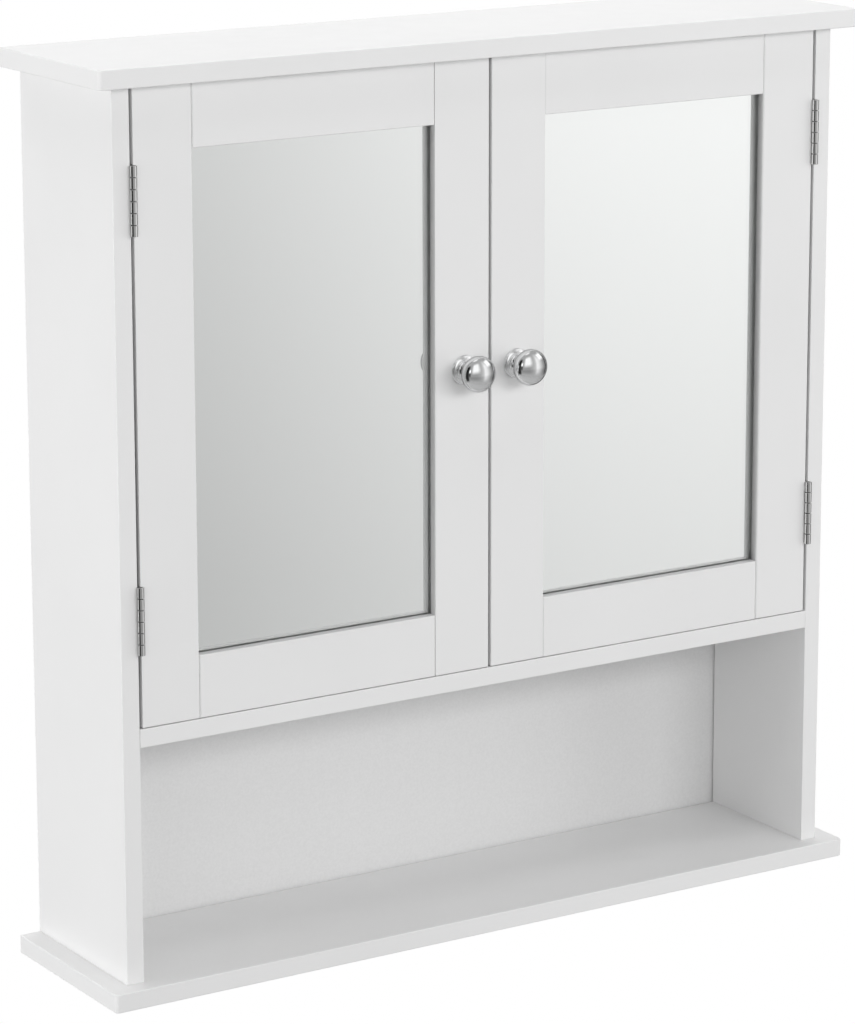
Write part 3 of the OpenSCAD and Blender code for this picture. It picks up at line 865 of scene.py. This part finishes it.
@dataclass(frozen=True)
class Levels:
    """Several planes across the Z axis."""

    heights: tuple[float, ...]
    share: float = 1.0

    def holds(self, points: np.ndarray) -> np.ndarray:
        """True for each point that lies on one of the planes."""
        return (np.abs(points[:, 2:] - self.heights) < TOUCH).any(axis=1)


def box_planes(node: str, axes: str = "xyz", share: float = 1.0, reach: float = TOUCH) -> list[Plane]:
    """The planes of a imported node's box.

    Args:
        node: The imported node.
        axes: Which planes: x, y or z for both along that axis.
        share: How much of the softening their arrises take.
        reach: How far a rounded corner pulls its edge back from the plane.

    Returns:
        Two planes for each axis.
    """
    low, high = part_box(node)
    numbers = ["xyz".index(letter) for letter in axes]
    return [Plane(n, end[n], share, reach) for n in numbers for end in (low, high)]


@dataclass(frozen=True)
class Softening:
    """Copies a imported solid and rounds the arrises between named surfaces.

    Both angles are in degrees: faces that turn by less than flat are one face, and only an edge that
    turns by more than sharp is an arris.
    """

    radius: float
    steps: int = 3
    flat: float = 0.2
    sharp: float = 30.0

    def copy(self, node: str, surfaces: Sequence[Surface]) -> Piece:
        """Makes the softened copy.

        Args:
            node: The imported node.
            surfaces: An edge is an arris if it is sharp and lies on two of these.

        Returns:
            The copy, named as the node with _finished after it, and standing for it.
        """
        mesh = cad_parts[node].data.copy()
        mesh.materials.clear()
        joined = bmesh.new()
        joined.from_mesh(mesh)
        bmesh.ops.remove_doubles(joined, verts=joined.verts, dist=WELD)
        bmesh.ops.dissolve_limit(
            joined, angle_limit=math.radians(self.flat), verts=joined.verts, edges=joined.edges
        )
        joined.to_mesh(mesh)
        joined.free()
        weights = self.weights(mesh, surfaces)
        mesh.attributes.new("bevel_weight_edge", "FLOAT", "EDGE").data.foreach_set("value", weights)
        piece = bpy.data.objects.new(f"{node}_finished", mesh)
        bpy.context.scene.collection.objects.link(piece)
        bevel = piece.modifiers.new("arrises", "BEVEL")
        bevel.limit_method = "WEIGHT"
        bevel.width = self.radius
        bevel.segments = self.steps
        bevel.use_clamp_overlap = False
        bevel.harden_normals = True
        smooth(mesh)
        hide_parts(node)
        return piece

    def weights(self, mesh: bpy.types.Mesh, surfaces: Sequence[Surface]) -> np.ndarray:
        """How much of the softening each edge takes, from 0 to 1.

        The two unit normals beside an edge have a sum whose square is 2 + 2 cos of the turn, which finds
        the sharp edges without walking from face to face.

        Args:
            mesh: The joined copy.
            surfaces: The surfaces whose arrises are softened.

        Returns:
            One number for each edge.
        """
        points = np.empty((len(mesh.vertices), 3), np.float32)
        ends = np.empty((len(mesh.edges), 2), np.int32)
        edge_of_corner = np.empty(len(mesh.loops), np.int32)
        normals = np.empty((len(mesh.polygons), 3), np.float32)
        corners = np.empty(len(mesh.polygons), np.int32)
        mesh.vertices.foreach_get("co", points.ravel())
        mesh.edges.foreach_get("vertices", ends.ravel())
        mesh.loops.foreach_get("edge_index", edge_of_corner)
        mesh.polygons.foreach_get("normal", normals.ravel())
        mesh.polygons.foreach_get("loop_total", corners)
        sums = np.zeros((len(ends), 3))
        np.add.at(sums, edge_of_corner, np.repeat(normals, corners, axis=0))
        sharp = (sums**2).sum(axis=1) < 2 + 2 * math.cos(math.radians(self.sharp))
        held = np.stack([surface.holds(points) for surface in surfaces], axis=-1)
        both = held[ends[:, 0]] & held[ends[:, 1]]
        shares = np.where(both, [surface.share for surface in surfaces], 1.0).min(axis=1)
        return np.where(sharp & (both.sum(axis=1) >= 2), shares, 0.0).astype(np.float32)


def corners_of(node: str) -> tuple[np.ndarray, np.ndarray]:
    """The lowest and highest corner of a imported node's box."""
    low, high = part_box(node)
    return np.array(low), np.array(high)


# ---------------------------------------------------------------- sub-assemblies


@dataclass
class SubAssembly:
    """What every sub-assembly shares: the store of finishes, and how a piece joins the cabinet."""

    finishes: FinishStore

    def add(self, piece: Piece, body: str, slot: Slot, *finishes: Finish) -> Piece:
        """Dresses a new piece and hangs it on its body.

        Args:
            piece: The piece.
            body: The body that it moves with.
            slot: The record's slot for its main finish; not used.
            finishes: Its finishes, in the order in which its faces number them.

        Returns:
            The piece.
        """
        self.finishes.dress(piece, *finishes)
        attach(piece, body)
        LOG.info("added %s to %s, in %s", piece.name, body, ", ".join(f.name for f in finishes))
        return piece

    def keep(self, finish: Finish, *nodes: str) -> None:
        """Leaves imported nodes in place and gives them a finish.

        Args:
            finish: The finish.
            *nodes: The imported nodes.
        """
        for node in nodes:
            for material_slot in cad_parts[node].material_slots:
                material_slot.material = self.finishes.get(finish)
            LOG.info("kept %s, in %s", node, finish.name)


def face_finish(piece: Piece, axis: int, position: float) -> None:
    """Gives a piece's faces on one plane its second finish.

    Args:
        piece: The piece.
        axis: The axis that the plane is across.
        position: Where on that axis it is.
    """
    mesh = piece.data
    centres = np.empty((len(mesh.polygons), 3), np.float32)
    mesh.polygons.foreach_get("center", centres.ravel())
    chosen = np.abs(centres[:, axis] - position) < TOUCH
    mesh.polygons.foreach_set("material_index", chosen.astype(np.int32))


@dataclass
class Carcass(SubAssembly):
    """The boards, the adjustable shelf, the back panel and the hanging rail.

    Where a board meets another, its arrises take joint_share of the softening.
    """

    body: str = "cabinet"
    arris: float = 0.7 * MM
    joint_share: float = 0.3
    board_corner: float = 3.0 * MM
    shelf_corner: float = 1.05 * MM
    sheet_arris: float = 0.3 * MM

    def build(self) -> None:
        """Builds every piece."""
        soft = Softening(self.arris)
        for node in ("top_board", "bottom_board"):
            planes = box_planes(node, "z") + box_planes(node, "xy", reach=self.board_corner + TOUCH)
            self.board(soft.copy(node, planes))
        for node in ("left_side_panel", "right_side_panel"):
            planes = box_planes(node, "xy") + box_planes(node, "z", self.joint_share)
            self.board(soft.copy(node, planes))
        for node in ("middle_shelf", "hanging_rail"):
            planes = box_planes(node, "yz") + box_planes(node, "x", self.joint_share)
            self.board(soft.copy(node, planes))
        self.adjustable_shelf()
        self.back_panel()

    def board(self, piece: Piece) -> None:
        """Paints a board and hangs it on the cabinet."""
        self.add(piece, self.body, Slot.BOARD, Finish.BOARD_PAINT)

    def adjustable_shelf(self) -> None:
        """A plain painted board that lies on the four shelf pins."""
        node = "adjustable_shelf"
        slab = Slab(*corners_of(node), thin=2, arris=self.arris, corner=self.shelf_corner)
        piece = slab.skin().build(f"{node}_finished")
        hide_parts(node)
        self.board(piece)

    def back_panel(self) -> None:
        """A hardboard sheet: white paper towards the front, bare at the rear and at its edges."""
        node = "back_panel"
        piece = Softening(self.sheet_arris).copy(node, box_planes(node))
        face_finish(piece, 1, corners_of(node)[0][1])
        self.add(piece, self.body, Slot.HARDBOARD, Finish.HARDBOARD, Finish.PAPER)


@dataclass
class Door(SubAssembly):
    """One framed mirror door with its knob and its strike plate.

    The frame's arrises are softened by arris, but those at the joints between its members by joint_arris.
    """

    side: Side
    arris: float = 0.6 * MM
    joint_arris: float = 1.2 * MM
    glass_arris: float = 0.3 * MM
    glass_corner: float = 0.6 * MM
    glass_clearance: float = 0.05 * MM
    strike_arris: float = 0.25 * MM
    knob_screw_bore: float = 4.2 * MM
    knob_bore_depth: float = 9.6 * MM
    knob_foot: float = 19.0 * MM
    knob_foot_step: float = 2.0 * MM
    knob_foot_edge: float = 0.8 * MM
    knob_neck: float = 9.0 * MM
    knob_head_height: float = 13.5 * MM
    knob_dome_height: float = 7.0 * MM
    knob_edge_steps: int = 6
    knob_cove_steps: int = 10
    knob_head_steps: int = 14
    knob_dome_steps: int = 24

    def build(self) -> None:
        """Builds every piece."""
        self.frame_members()
        self.mirror()
        self.backing_board()
        self.knob()
        self.strike_plate()
        self.keep(Finish.ZINC, *map(self.node, ("backing_screws", "knob_screw", "strike_screw")))

    def node(self, word: str) -> str:
        """The name of this door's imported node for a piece."""
        return f"{self.side.word}_{word}"

    def frame_members(self) -> None:
        """Two stiles over the whole height, with two rails let in between them.

        The arrises at the rails' shoulders take the whole softening, so that each joint shows as a
        groove. The others take the share of it that the arris needs.
        """
        soft = Softening(self.joint_arris)
        share = self.arris / self.joint_arris
        stiles = (self.node("hinge_stile"), self.node("closing_stile"))
        shoulders = [self.shoulder(stile) for stile in stiles]
        for node, inner in zip(stiles, shoulders):
            outer = sum(end[0] for end in corners_of(node)) - inner
            planes = [Plane(0, inner), Plane(0, outer, share)]
            self.paint(soft.copy(node, planes + box_planes(node, "y") + box_planes(node, "z", share)))
        for node in (self.node("top_rail"), self.node("bottom_rail")):
            planes = [Plane(0, inner) for inner in shoulders]
            self.paint(soft.copy(node, planes + box_planes(node, "y") + box_planes(node, "z", share)))

    def shoulder(self, stile: str) -> float:
        """Finds a stile's inner side, where the rails' shoulders meet it.

        Args:
            stile: The stile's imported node.

        Returns:
            Where the side is along X.
        """
        low, high = corners_of(self.node("mirror"))
        middle = (low[0] + high[0]) / 2
        return min((end[0] for end in corners_of(stile)), key=lambda x: abs(x - middle))

    def paint(self, piece: Piece) -> None:
        """Paints a frame member and hangs it on the door."""
        self.add(piece, self.side.door, Slot.DOOR_FRAME, Finish.DOOR_PAINT)

    def mirror(self) -> None:
        """A pane of clear glass whose rear face is silvered, a hair clear of what it lies against."""
        node = self.node("mirror")
        low, high = corners_of(node)
        low[1] += self.glass_clearance
        high[1] -= self.glass_clearance
        slab = Slab(low, high, thin=1, arris=self.glass_arris, corner=self.glass_corner)
        piece = slab.skin(back=1).build(f"{node}_finished")
        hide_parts(node)
        self.add(piece, self.side.door, Slot.MIRROR, Finish.GLASS, Finish.SILVER)

    def backing_board(self) -> None:
        """A hardboard sheet behind the mirror: white paper towards the cupboard, bare elsewhere."""
        node = self.node("backing_board")
        piece = Softening(self.glass_arris).copy(node, box_planes(node))
        face_finish(piece, 1, corners_of(node)[1][1])
        self.add(piece, self.side.door, Slot.HARDBOARD, Finish.HARDBOARD, Finish.PAPER)

    def knob_section(self, radius: float, projection: float) -> np.ndarray:
        """Half section of the knob, as rows of radius and height above the door.

        It starts inside the screw bore, comes out under the foot, climbs the foot's two rounded steps,
        each two of its edges high, runs in to the neck and out to the head as two quarter ellipses,
        rounds the head's widest circle and closes over the dome, half an ellipse. An arc that would
        start on the last point before it starts a few degrees later.

        Args:
            radius: Radius of the head.
            projection: Height of the tip above the door.

        Returns:
            Array of points, from the bore's end to the tip.
        """
        bore = self.knob_screw_bore / 2
        edge = self.knob_foot_edge
        foot = self.knob_foot / 2 - edge
        step = foot - self.knob_foot_step
        top = 4 * edge
        head = projection - self.knob_head_height
        widest = projection - self.knob_dome_height
        waist = (top + head) / 2
        cove = step - self.knob_neck / 2
        rows = [
            [[0, self.knob_bore_depth], [bore, self.knob_bore_depth], [bore, 0], [foot + edge, 0]],
            [foot, edge] + arc(0, 90, self.knob_edge_steps) * edge,
            [step, 3 * edge] + arc(0, 90, self.knob_edge_steps) * edge,
            [step, waist] + arc(270, 180, self.knob_cove_steps) * [cove, waist - top],
            [step, waist] + arc(170, 90, self.knob_cove_steps) * [cove, head - waist],
            [step, widest] + arc(-80, 0, self.knob_head_steps) * [radius - step, widest - head],
            [0, widest] + arc(4, 90, self.knob_dome_steps) * [radius, self.knob_dome_height],
        ]
        return np.concatenate(rows)

    def knob(self) -> None:
        """A chrome mushroom knob, turned round its screw's axis."""
        node = self.node("knob")
        low, high = corners_of(node)
        foot = np.array([(low[0] + high[0]) / 2, high[1], (low[2] + high[2]) / 2])
        section = self.knob_section((high[0] - low[0]) / 2, high[1] - low[1])
        piece = Turning(foot, axis=1, direction=-1, section=section).skin().build(f"{node}_finished")
        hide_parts(node)
        self.add(piece, self.side.door, Slot.CHROME, Finish.CHROME)

    def strike_plate(self) -> None:
        """The zinc-plated plate that the magnet pulls."""
        node = self.node("strike_plate")
        piece = Softening(self.strike_arris).copy(node, box_planes(node))
        self.add(piece, self.side.door, Slot.STEEL, Finish.ZINC)


@dataclass
class Hinge(SubAssembly):
    """One butt hinge: a leaf on the side panel, a leaf on the door and the pin through both.

    The domes of the pin's ends are dome_share of its radius high.
    """

    side: Side
    level: Level
    knuckles: int = 6
    knuckle_play: float = 0.5 * MM
    arris: float = 0.2 * MM
    arris_steps: int = 2
    dome_share: float = 0.5
    dome_steps: int = 6
    pin_steps: int = 32

    def build(self) -> None:
        """Builds both leaves and the pin."""
        for leaf, body in (("panel_leaf", "cabinet"), ("door_leaf", self.side.door)):
            node = self.node(leaf)
            piece = Softening(self.arris, self.arris_steps).copy(node, self.leaf_surfaces(node))
            self.add(piece, body, Slot.HINGE, Finish.NICKEL)
        self.pin()

    def node(self, word: str) -> str:
        """The name of this hinge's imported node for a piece."""
        return f"{self.side.word}_{self.level.value}_{word}"

    def axis(self) -> np.ndarray:
        """The middle of the pin."""
        return sum(corners_of(self.node("hinge_pin"))) / 2

    def leaf_surfaces(self, node: str) -> list[Surface]:
        """The surfaces that a leaf's arrises lie on.

        They are the barrel, the knuckles' ends, the plate's own ends and its free edge.

        Args:
            node: The leaf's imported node.

        Returns:
            The surfaces.
        """
        low, high = corners_of(node)
        axis = self.axis()
        steps = np.linspace(low[2], high[2], self.knuckles + 1)
        ends = np.concatenate([steps - self.knuckle_play / 2, steps + self.knuckle_play / 2])
        return [
            Barrel(axis[0], axis[1], axis[1] - low[1]),
            Levels(tuple(ends)),
            Plane(1, high[1]),
            Plane(2, low[2]),
            Plane(2, high[2]),
        ]

    def pin(self) -> None:
        """The pin, a round bar with domed ends, in steel painted far darker than bare steel, as painted
        shade in the gaps between the knuckles.
        """
        node = self.node("hinge_pin")
        low, high = corners_of(node)
        radius = (high[0] - low[0]) / 2
        dome = self.dome_share * radius
        length = high[2] - low[2]
        section = np.concatenate(
            [
                [0, dome] + arc(-90, 0, self.dome_steps) * [radius, dome],
                [0, length - dome] + arc(0, 90, self.dome_steps) * [radius, dome],
            ]
        )
        foot = np.array([*self.axis()[:2], low[2]])
        bar = Turning(foot, axis=2, direction=1, section=section, steps=self.pin_steps)
        piece = bar.skin().build(f"{node}_finished")
        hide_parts(node)
        # The pin's dark steel is painted shade for the gaps between the knuckles
        self.add(piece, "cabinet", Slot.HINGE, Finish.STEEL)


@dataclass
class Catch(SubAssembly):
    """The double magnetic catch under the top board."""

    arris: float = 0.5 * MM

    def build(self) -> None:
        """Builds the housing, and dresses both magnets and the screws."""
        node = "catch_housing"
        piece = Softening(self.arris).copy(node, box_planes(node))
        self.add(piece, "cabinet", Slot.PLASTIC, Finish.WHITE_PLASTIC)
        self.keep(Finish.FERRITE, "catch_magnets")
        self.keep(Finish.ZINC, "catch_screws")


@dataclass
class Fittings(SubAssembly):
    """The fittings that join the boards and carry the shelf, kept as they are packed."""

    def build(self) -> None:
        """Dresses every fitting."""
        self.keep(Finish.CAST_ZINC, "top_cam_locks", "shelf_cam_locks")
        self.keep(Finish.ZINC, "top_cam_bolts", "shelf_cam_bolts", "bottom_screws", "shelf_pins")
        self.keep(Finish.BEECH, "top_dowels", "shelf_dowels", "bottom_dowels", "rail_dowels")
        for side in Side:
            self.keep(Finish.NICKEL, f"{side.word}_panel_hinge_screws", f"{side.word}_door_hinge_screws")


# ---------------------------------------------------------------- studio

# Grey of the room at each bearing, and how much of it is left at each height above the horizon. Here
# and below, a bearing is in degrees to the right of straight ahead of the doors, a height in degrees.
ROOM_ACROSS = {
    -180: 0.50,
    -70: 0.45,
    -40: 0.36,
    0: 0.36,
    15: 0.44,
    27: 0.60,
    29.2: 0.69,
    32.4: 0.85,
    34.1: 0.95,
    37.1: 0.99,
    44: 0.90,
    56: 0.60,
    70: 0.32,
    90: 0.30,
    140: 0.45,
    180: 0.50,
}
ROOM_UPWARD = {-90: 0.72, -30: 0.72, -15: 0.80, -8.5: 1.0, 90: 1.0}


@dataclass(frozen=True)
class Softbox:
    """A rectangular lamp that lights the cabinet but isn't seen in its mirrors or its metal."""

    name: str
    place: tuple[float, float, float]
    target: tuple[float, float, float]
    size: tuple[float, float]
    watts: float

    def build(self) -> None:
        """Puts the lamp up, facing its target."""
        lamp = bpy.data.lights.new(self.name, "AREA")
        lamp.shape = "RECTANGLE"
        lamp.size, lamp.size_y = self.size
        lamp.energy = self.watts
        piece = bpy.data.objects.new(self.name, lamp)
        piece.location = self.place
        aim = Vector(self.target) - Vector(self.place)
        piece.rotation_euler = aim.to_track_quat("-Z", "Y").to_euler()
        piece.visible_glossy = False
        piece.visible_transmission = False
        bpy.context.scene.collection.objects.link(piece)


@dataclass(frozen=True)
class Card:
    """A soft-edged panel in the room that metal shows, with its angles in degrees."""

    bearing: float
    height: float
    half_width: float
    half_height: float
    grey: float
    edge: float = 8.0

    def hang(self, bench: NodeBench, bearing: Socket, height: Socket, room: Socket) -> Socket:
        """Puts the panel in front of the room so far.

        Args:
            bench: The world's bench.
            bearing: Bearing of the ray.
            height: Height of the ray above the horizon.
            room: Colour of the room behind the panel.

        Returns:
            The room's colour with the panel in it.
        """
        across = self.cover(bench, bearing, self.bearing, self.half_width)
        upward = self.cover(bench, height, self.height, self.half_height)
        return bench.blend(bench.math("MULTIPLY", across, upward), room, plain_grey(self.grey))

    def cover(self, bench: NodeBench, angle: Socket, middle: float, half: float) -> Socket:
        """How much of the panel a ray meets along one angle: 1 inside it, falling to 0 over its edge."""
        away = bench.math("ABSOLUTE", bench.math("SUBTRACT", angle, middle))
        return bench.spread(away, 1.0, 0.0, (half, half + self.edge))


@dataclass
class Studio:
    """Camera, lamps, surroundings and floor.

    The camera looks so many degrees down from the horizon, and to the right of straight at the doors.
    """

    camera_place: tuple[float, float, float] = (-1.373, -2.212, 0.356)
    camera_down: float = 12.41
    camera_tilt: float = 0.10
    camera_right: float = 32.37
    lens: float = 142.7
    shift_up: float = -0.1
    lamps: tuple[Softbox, ...] = (
        Softbox("overhead", (0.0, 0.45, 1.7), (0.0, 0.0, 0.0), (2.0, 1.0), 22.5),
        Softbox("steep", (0.0, -0.75, 2.0), (0.0, -0.1, -0.25), (2.0, 0.6), 7.0),
        Softbox("high_front", (0.3, -2.9, 0.7), (0.0, -0.1, -0.25), (2.4, 0.8), 36.3),
        Softbox("high_right", (2.4, -2.0, 1.0), (0.0, -0.1, -0.25), (1.6, 1.6), 6.7),
        Softbox("left", (-2.4, 0.2, -0.2), (0.0, -0.05, -0.25), (1.2, 1.6), 31.5),
        Softbox("left_front", (-2.2, -1.6, -0.1), (0.0, -0.1, -0.25), (1.6, 1.6), 9.6),
        Softbox("right", (3.0, -1.6, -0.2), (0.0, -0.1, -0.25), (2.0, 2.0), 30.0),
        Softbox("behind", (1.8, 2.4, 0.1), (0.0, 0.0, -0.25), (2.0, 2.0), 20.0),
    )
    cards: tuple[Card, ...] = (
        Card(0.0, -90.0, 180.0, 56.0, 0.44, 14.0),
        Card(0.0, 90.0, 180.0, 32.0, 0.42, 36.0),
        Card(0.0, 90.0, 180.0, 10.0, 1.0, 6.0),
        Card(-95.0, 4.0, 33.0, 34.0, 0.02, 12.0),
        Card(-53.0, -2.0, 7.0, 6.0, 0.08, 8.0),
        Card(-50.0, 16.0, 3.0, 4.0, 1.3, 7.0),
        Card(-10.0, 27.0, 12.0, 14.0, 1.08, 16.0),
        Card(69.0, 30.0, 14.0, 8.0, 1.2, 10.0),
        Card(110.0, 2.0, 22.0, 22.0, 0.05, 10.0),
        Card(150.0, 15.0, 18.0, 12.0, 0.85, 10.0),
    )
    ambient: float = 0.30
    thrown_light: float = 0.90
    least_mirrored: float = 0.52
    floor_drop: float = 1.3
    floor_radius: float = 2.6
    floor_rings: int = 24
    floor_spokes: int = 96
    floor_fade: Span = (0.35, 0.98)
    floor_seen: float = 0.86
    floor_thrown: float = 0.5

    def build(self) -> None:
        """Sets everything up."""
        bpy.context.scene.view_settings.view_transform = "Standard"
        self.camera()
        for lamp in self.lamps:
            lamp.build()
        self.world()
        self.floor()

    def camera(self) -> None:
        """The camera, in front of the cabinet's left side and a little above it."""
        data = bpy.data.cameras.new("camera")
        data.lens = self.lens
        data.shift_y = self.shift_up
        piece = bpy.data.objects.new("camera", data)
        piece.location = self.camera_place
        turn = (90.0 - self.camera_down, self.camera_tilt, -self.camera_right)
        piece.rotation_euler = [math.radians(angle) for angle in turn]
        bpy.context.scene.collection.objects.link(piece)
        bpy.context.scene.camera = piece

    def world(self) -> None:
        """White behind the cabinet, a bright room in its mirrors and a soft light all round.

        Light that a mirror or a metal throws on to a plain surface comes from a room as bright as the
        lamps make the cabinet, since the lamps themselves stay out of the reflections.
        """
        world = bpy.data.worlds.new("surroundings")
        world.use_nodes = True
        bench = NodeBench(world.node_tree)
        rays = bench.node("ShaderNodeLightPath").outputs
        thrown = bench.passed(rays["Diffuse Depth"])
        room = bench.blend(thrown, self.room(bench, rays), plain_grey(self.thrown_light))
        shiny = bench.math("MAXIMUM", rays["Is Glossy Ray"], rays["Is Transmission Ray"])
        light = bench.blend(shiny, plain_grey(self.ambient), room)
        seen = bench.blend(rays["Is Camera Ray"], light, plain_grey(1.0))
        background = bench.node("ShaderNodeBackground")
        bench.feed(seen, background.inputs["Color"])
        out = bench.node("ShaderNodeOutputWorld")
        bench.feed(background.outputs[0], out.inputs[0])
        bpy.context.scene.world = world

    def room(self, bench: NodeBench, rays: Mapping[str, Socket]) -> Socket:
        """The room that mirrors and metal show.

        Its grey is a curve of the bearing times a curve of the height. The panels shape the highlights
        of the metal and stay out of the mirrors, whose rays have been through glass. There the room is
        never darker than the least that a mirror shows.

        Args:
            bench: The world's bench.
            rays: What is known of the ray.

        Returns:
            The room's colour.
        """
        axes = bench.node("ShaderNodeSeparateXYZ")
        bench.feed(bench.node("ShaderNodeTexCoord").outputs["Generated"], axes.inputs[0])
        x, y, z = axes.outputs
        bearing = bench.math("ARCTAN2", x, bench.math("MULTIPLY", y, -1.0))
        bearing = bench.math("MULTIPLY", bearing, math.degrees(1.0))
        height = bench.math("MULTIPLY", bench.math("ARCSINE", z), math.degrees(1.0))
        across = bench.ramp(bearing, (-180.0, 180.0), ROOM_ACROSS)
        upward = bench.ramp(height, (-90.0, 90.0), ROOM_UPWARD)
        room = bench.blend(1.0, across, upward, way="MULTIPLY")
        mirrored = bench.math("MAXIMUM", room, self.least_mirrored)
        for card in self.cards:
            room = card.hang(bench, bearing, height, room)
        return bench.blend(bench.passed(rays["Transmission Depth"]), room, mirrored)

    def floor(self) -> None:
        """A pale disc far below the cabinet, so that its shadow is soft.

        The two parameters are the radius and the angle round the middle.
        """
        low, high = CAD_BOUNDS
        middle = (low + high) / 2
        radii = np.linspace(0.0, self.floor_radius, self.floor_rings + 1)[1:]
        flat = radii[:, None, None] * arc(0, 360, self.floor_spokes)[:-1]
        grid = np.concatenate([flat, np.zeros((*flat.shape[:2], 1))], axis=-1)
        centre = np.array([middle.x, middle.y, low.z - self.floor_drop])
        skin = Skin()
        rings = skin.add_points(grid + centre)
        hub = skin.add_points(centre[None])[0]
        skin.add_rings(rings[::-1])
        skin.add_pole(rings[0], hub, upper=True)
        piece = skin.build("floor")
        piece.data.materials.append(self.floor_material())

    def floor_material(self) -> bpy.types.Material:
        """Matt off-white that fades into the white surroundings, and isn't there from below.

        Returns:
            The material.
        """
        material = bpy.data.materials.new("floor_paint")
        material.use_nodes = True
        bench = NodeBench(material.node_tree)
        rays = bench.node("ShaderNodeLightPath").outputs
        distance = bench.node("ShaderNodeVectorMath", operation="LENGTH")
        flattened = bench.node("ShaderNodeMapping")
        flattened.inputs["Scale"].default_value = (1.0, 1.0, 0.0)
        bench.feed(bench.node("ShaderNodeTexCoord").outputs["Object"], flattened.inputs["Vector"])
        bench.feed(flattened.outputs[0], distance.inputs[0])
        start, end = (share * self.floor_radius for share in self.floor_fade)
        fade = bench.spread(distance.outputs["Value"], 0.0, 1.0, (start, end))
        shiny = bench.math("MAXIMUM", rays["Is Glossy Ray"], rays["Is Transmission Ray"])
        seen = bench.math("MAXIMUM", rays["Is Camera Ray"], shiny)
        clear = bench.math(
            "MAXIMUM",
            bench.math("MULTIPLY", fade, seen),
            bench.node("ShaderNodeNewGeometry").outputs["Backfacing"],
        )
        paint = bench.node("ShaderNodeBsdfDiffuse")
        tones = plain_grey(self.floor_thrown), plain_grey(self.floor_seen)
        bench.feed(bench.blend(rays["Is Camera Ray"], *tones), paint.inputs["Color"])
        faded = bench.node("ShaderNodeMixShader")
        bench.feed(clear, faded.inputs[0])
        bench.feed(paint.outputs[0], faded.inputs[1])
        bench.feed(bench.node("ShaderNodeBsdfTransparent").outputs[0], faded.inputs[2])
        out = bench.node("ShaderNodeOutputMaterial")
        bench.feed(faded.outputs[0], out.inputs[0])
        return material


def main() -> None:
    """Builds the studio and then the cabinet, sub-assembly by sub-assembly."""
    logging.basicConfig(level=logging.INFO, format="%(name)s: %(message)s")
    finishes = FinishStore()
    Studio().build()
    Carcass(finishes).build()
    for side in Side:
        Door(finishes, side).build()
        for level in Level:
            Hinge(finishes, side, level).build()
    Catch(finishes).build()
    Fittings(finishes).build()


if __name__ == "__main__":
    main()
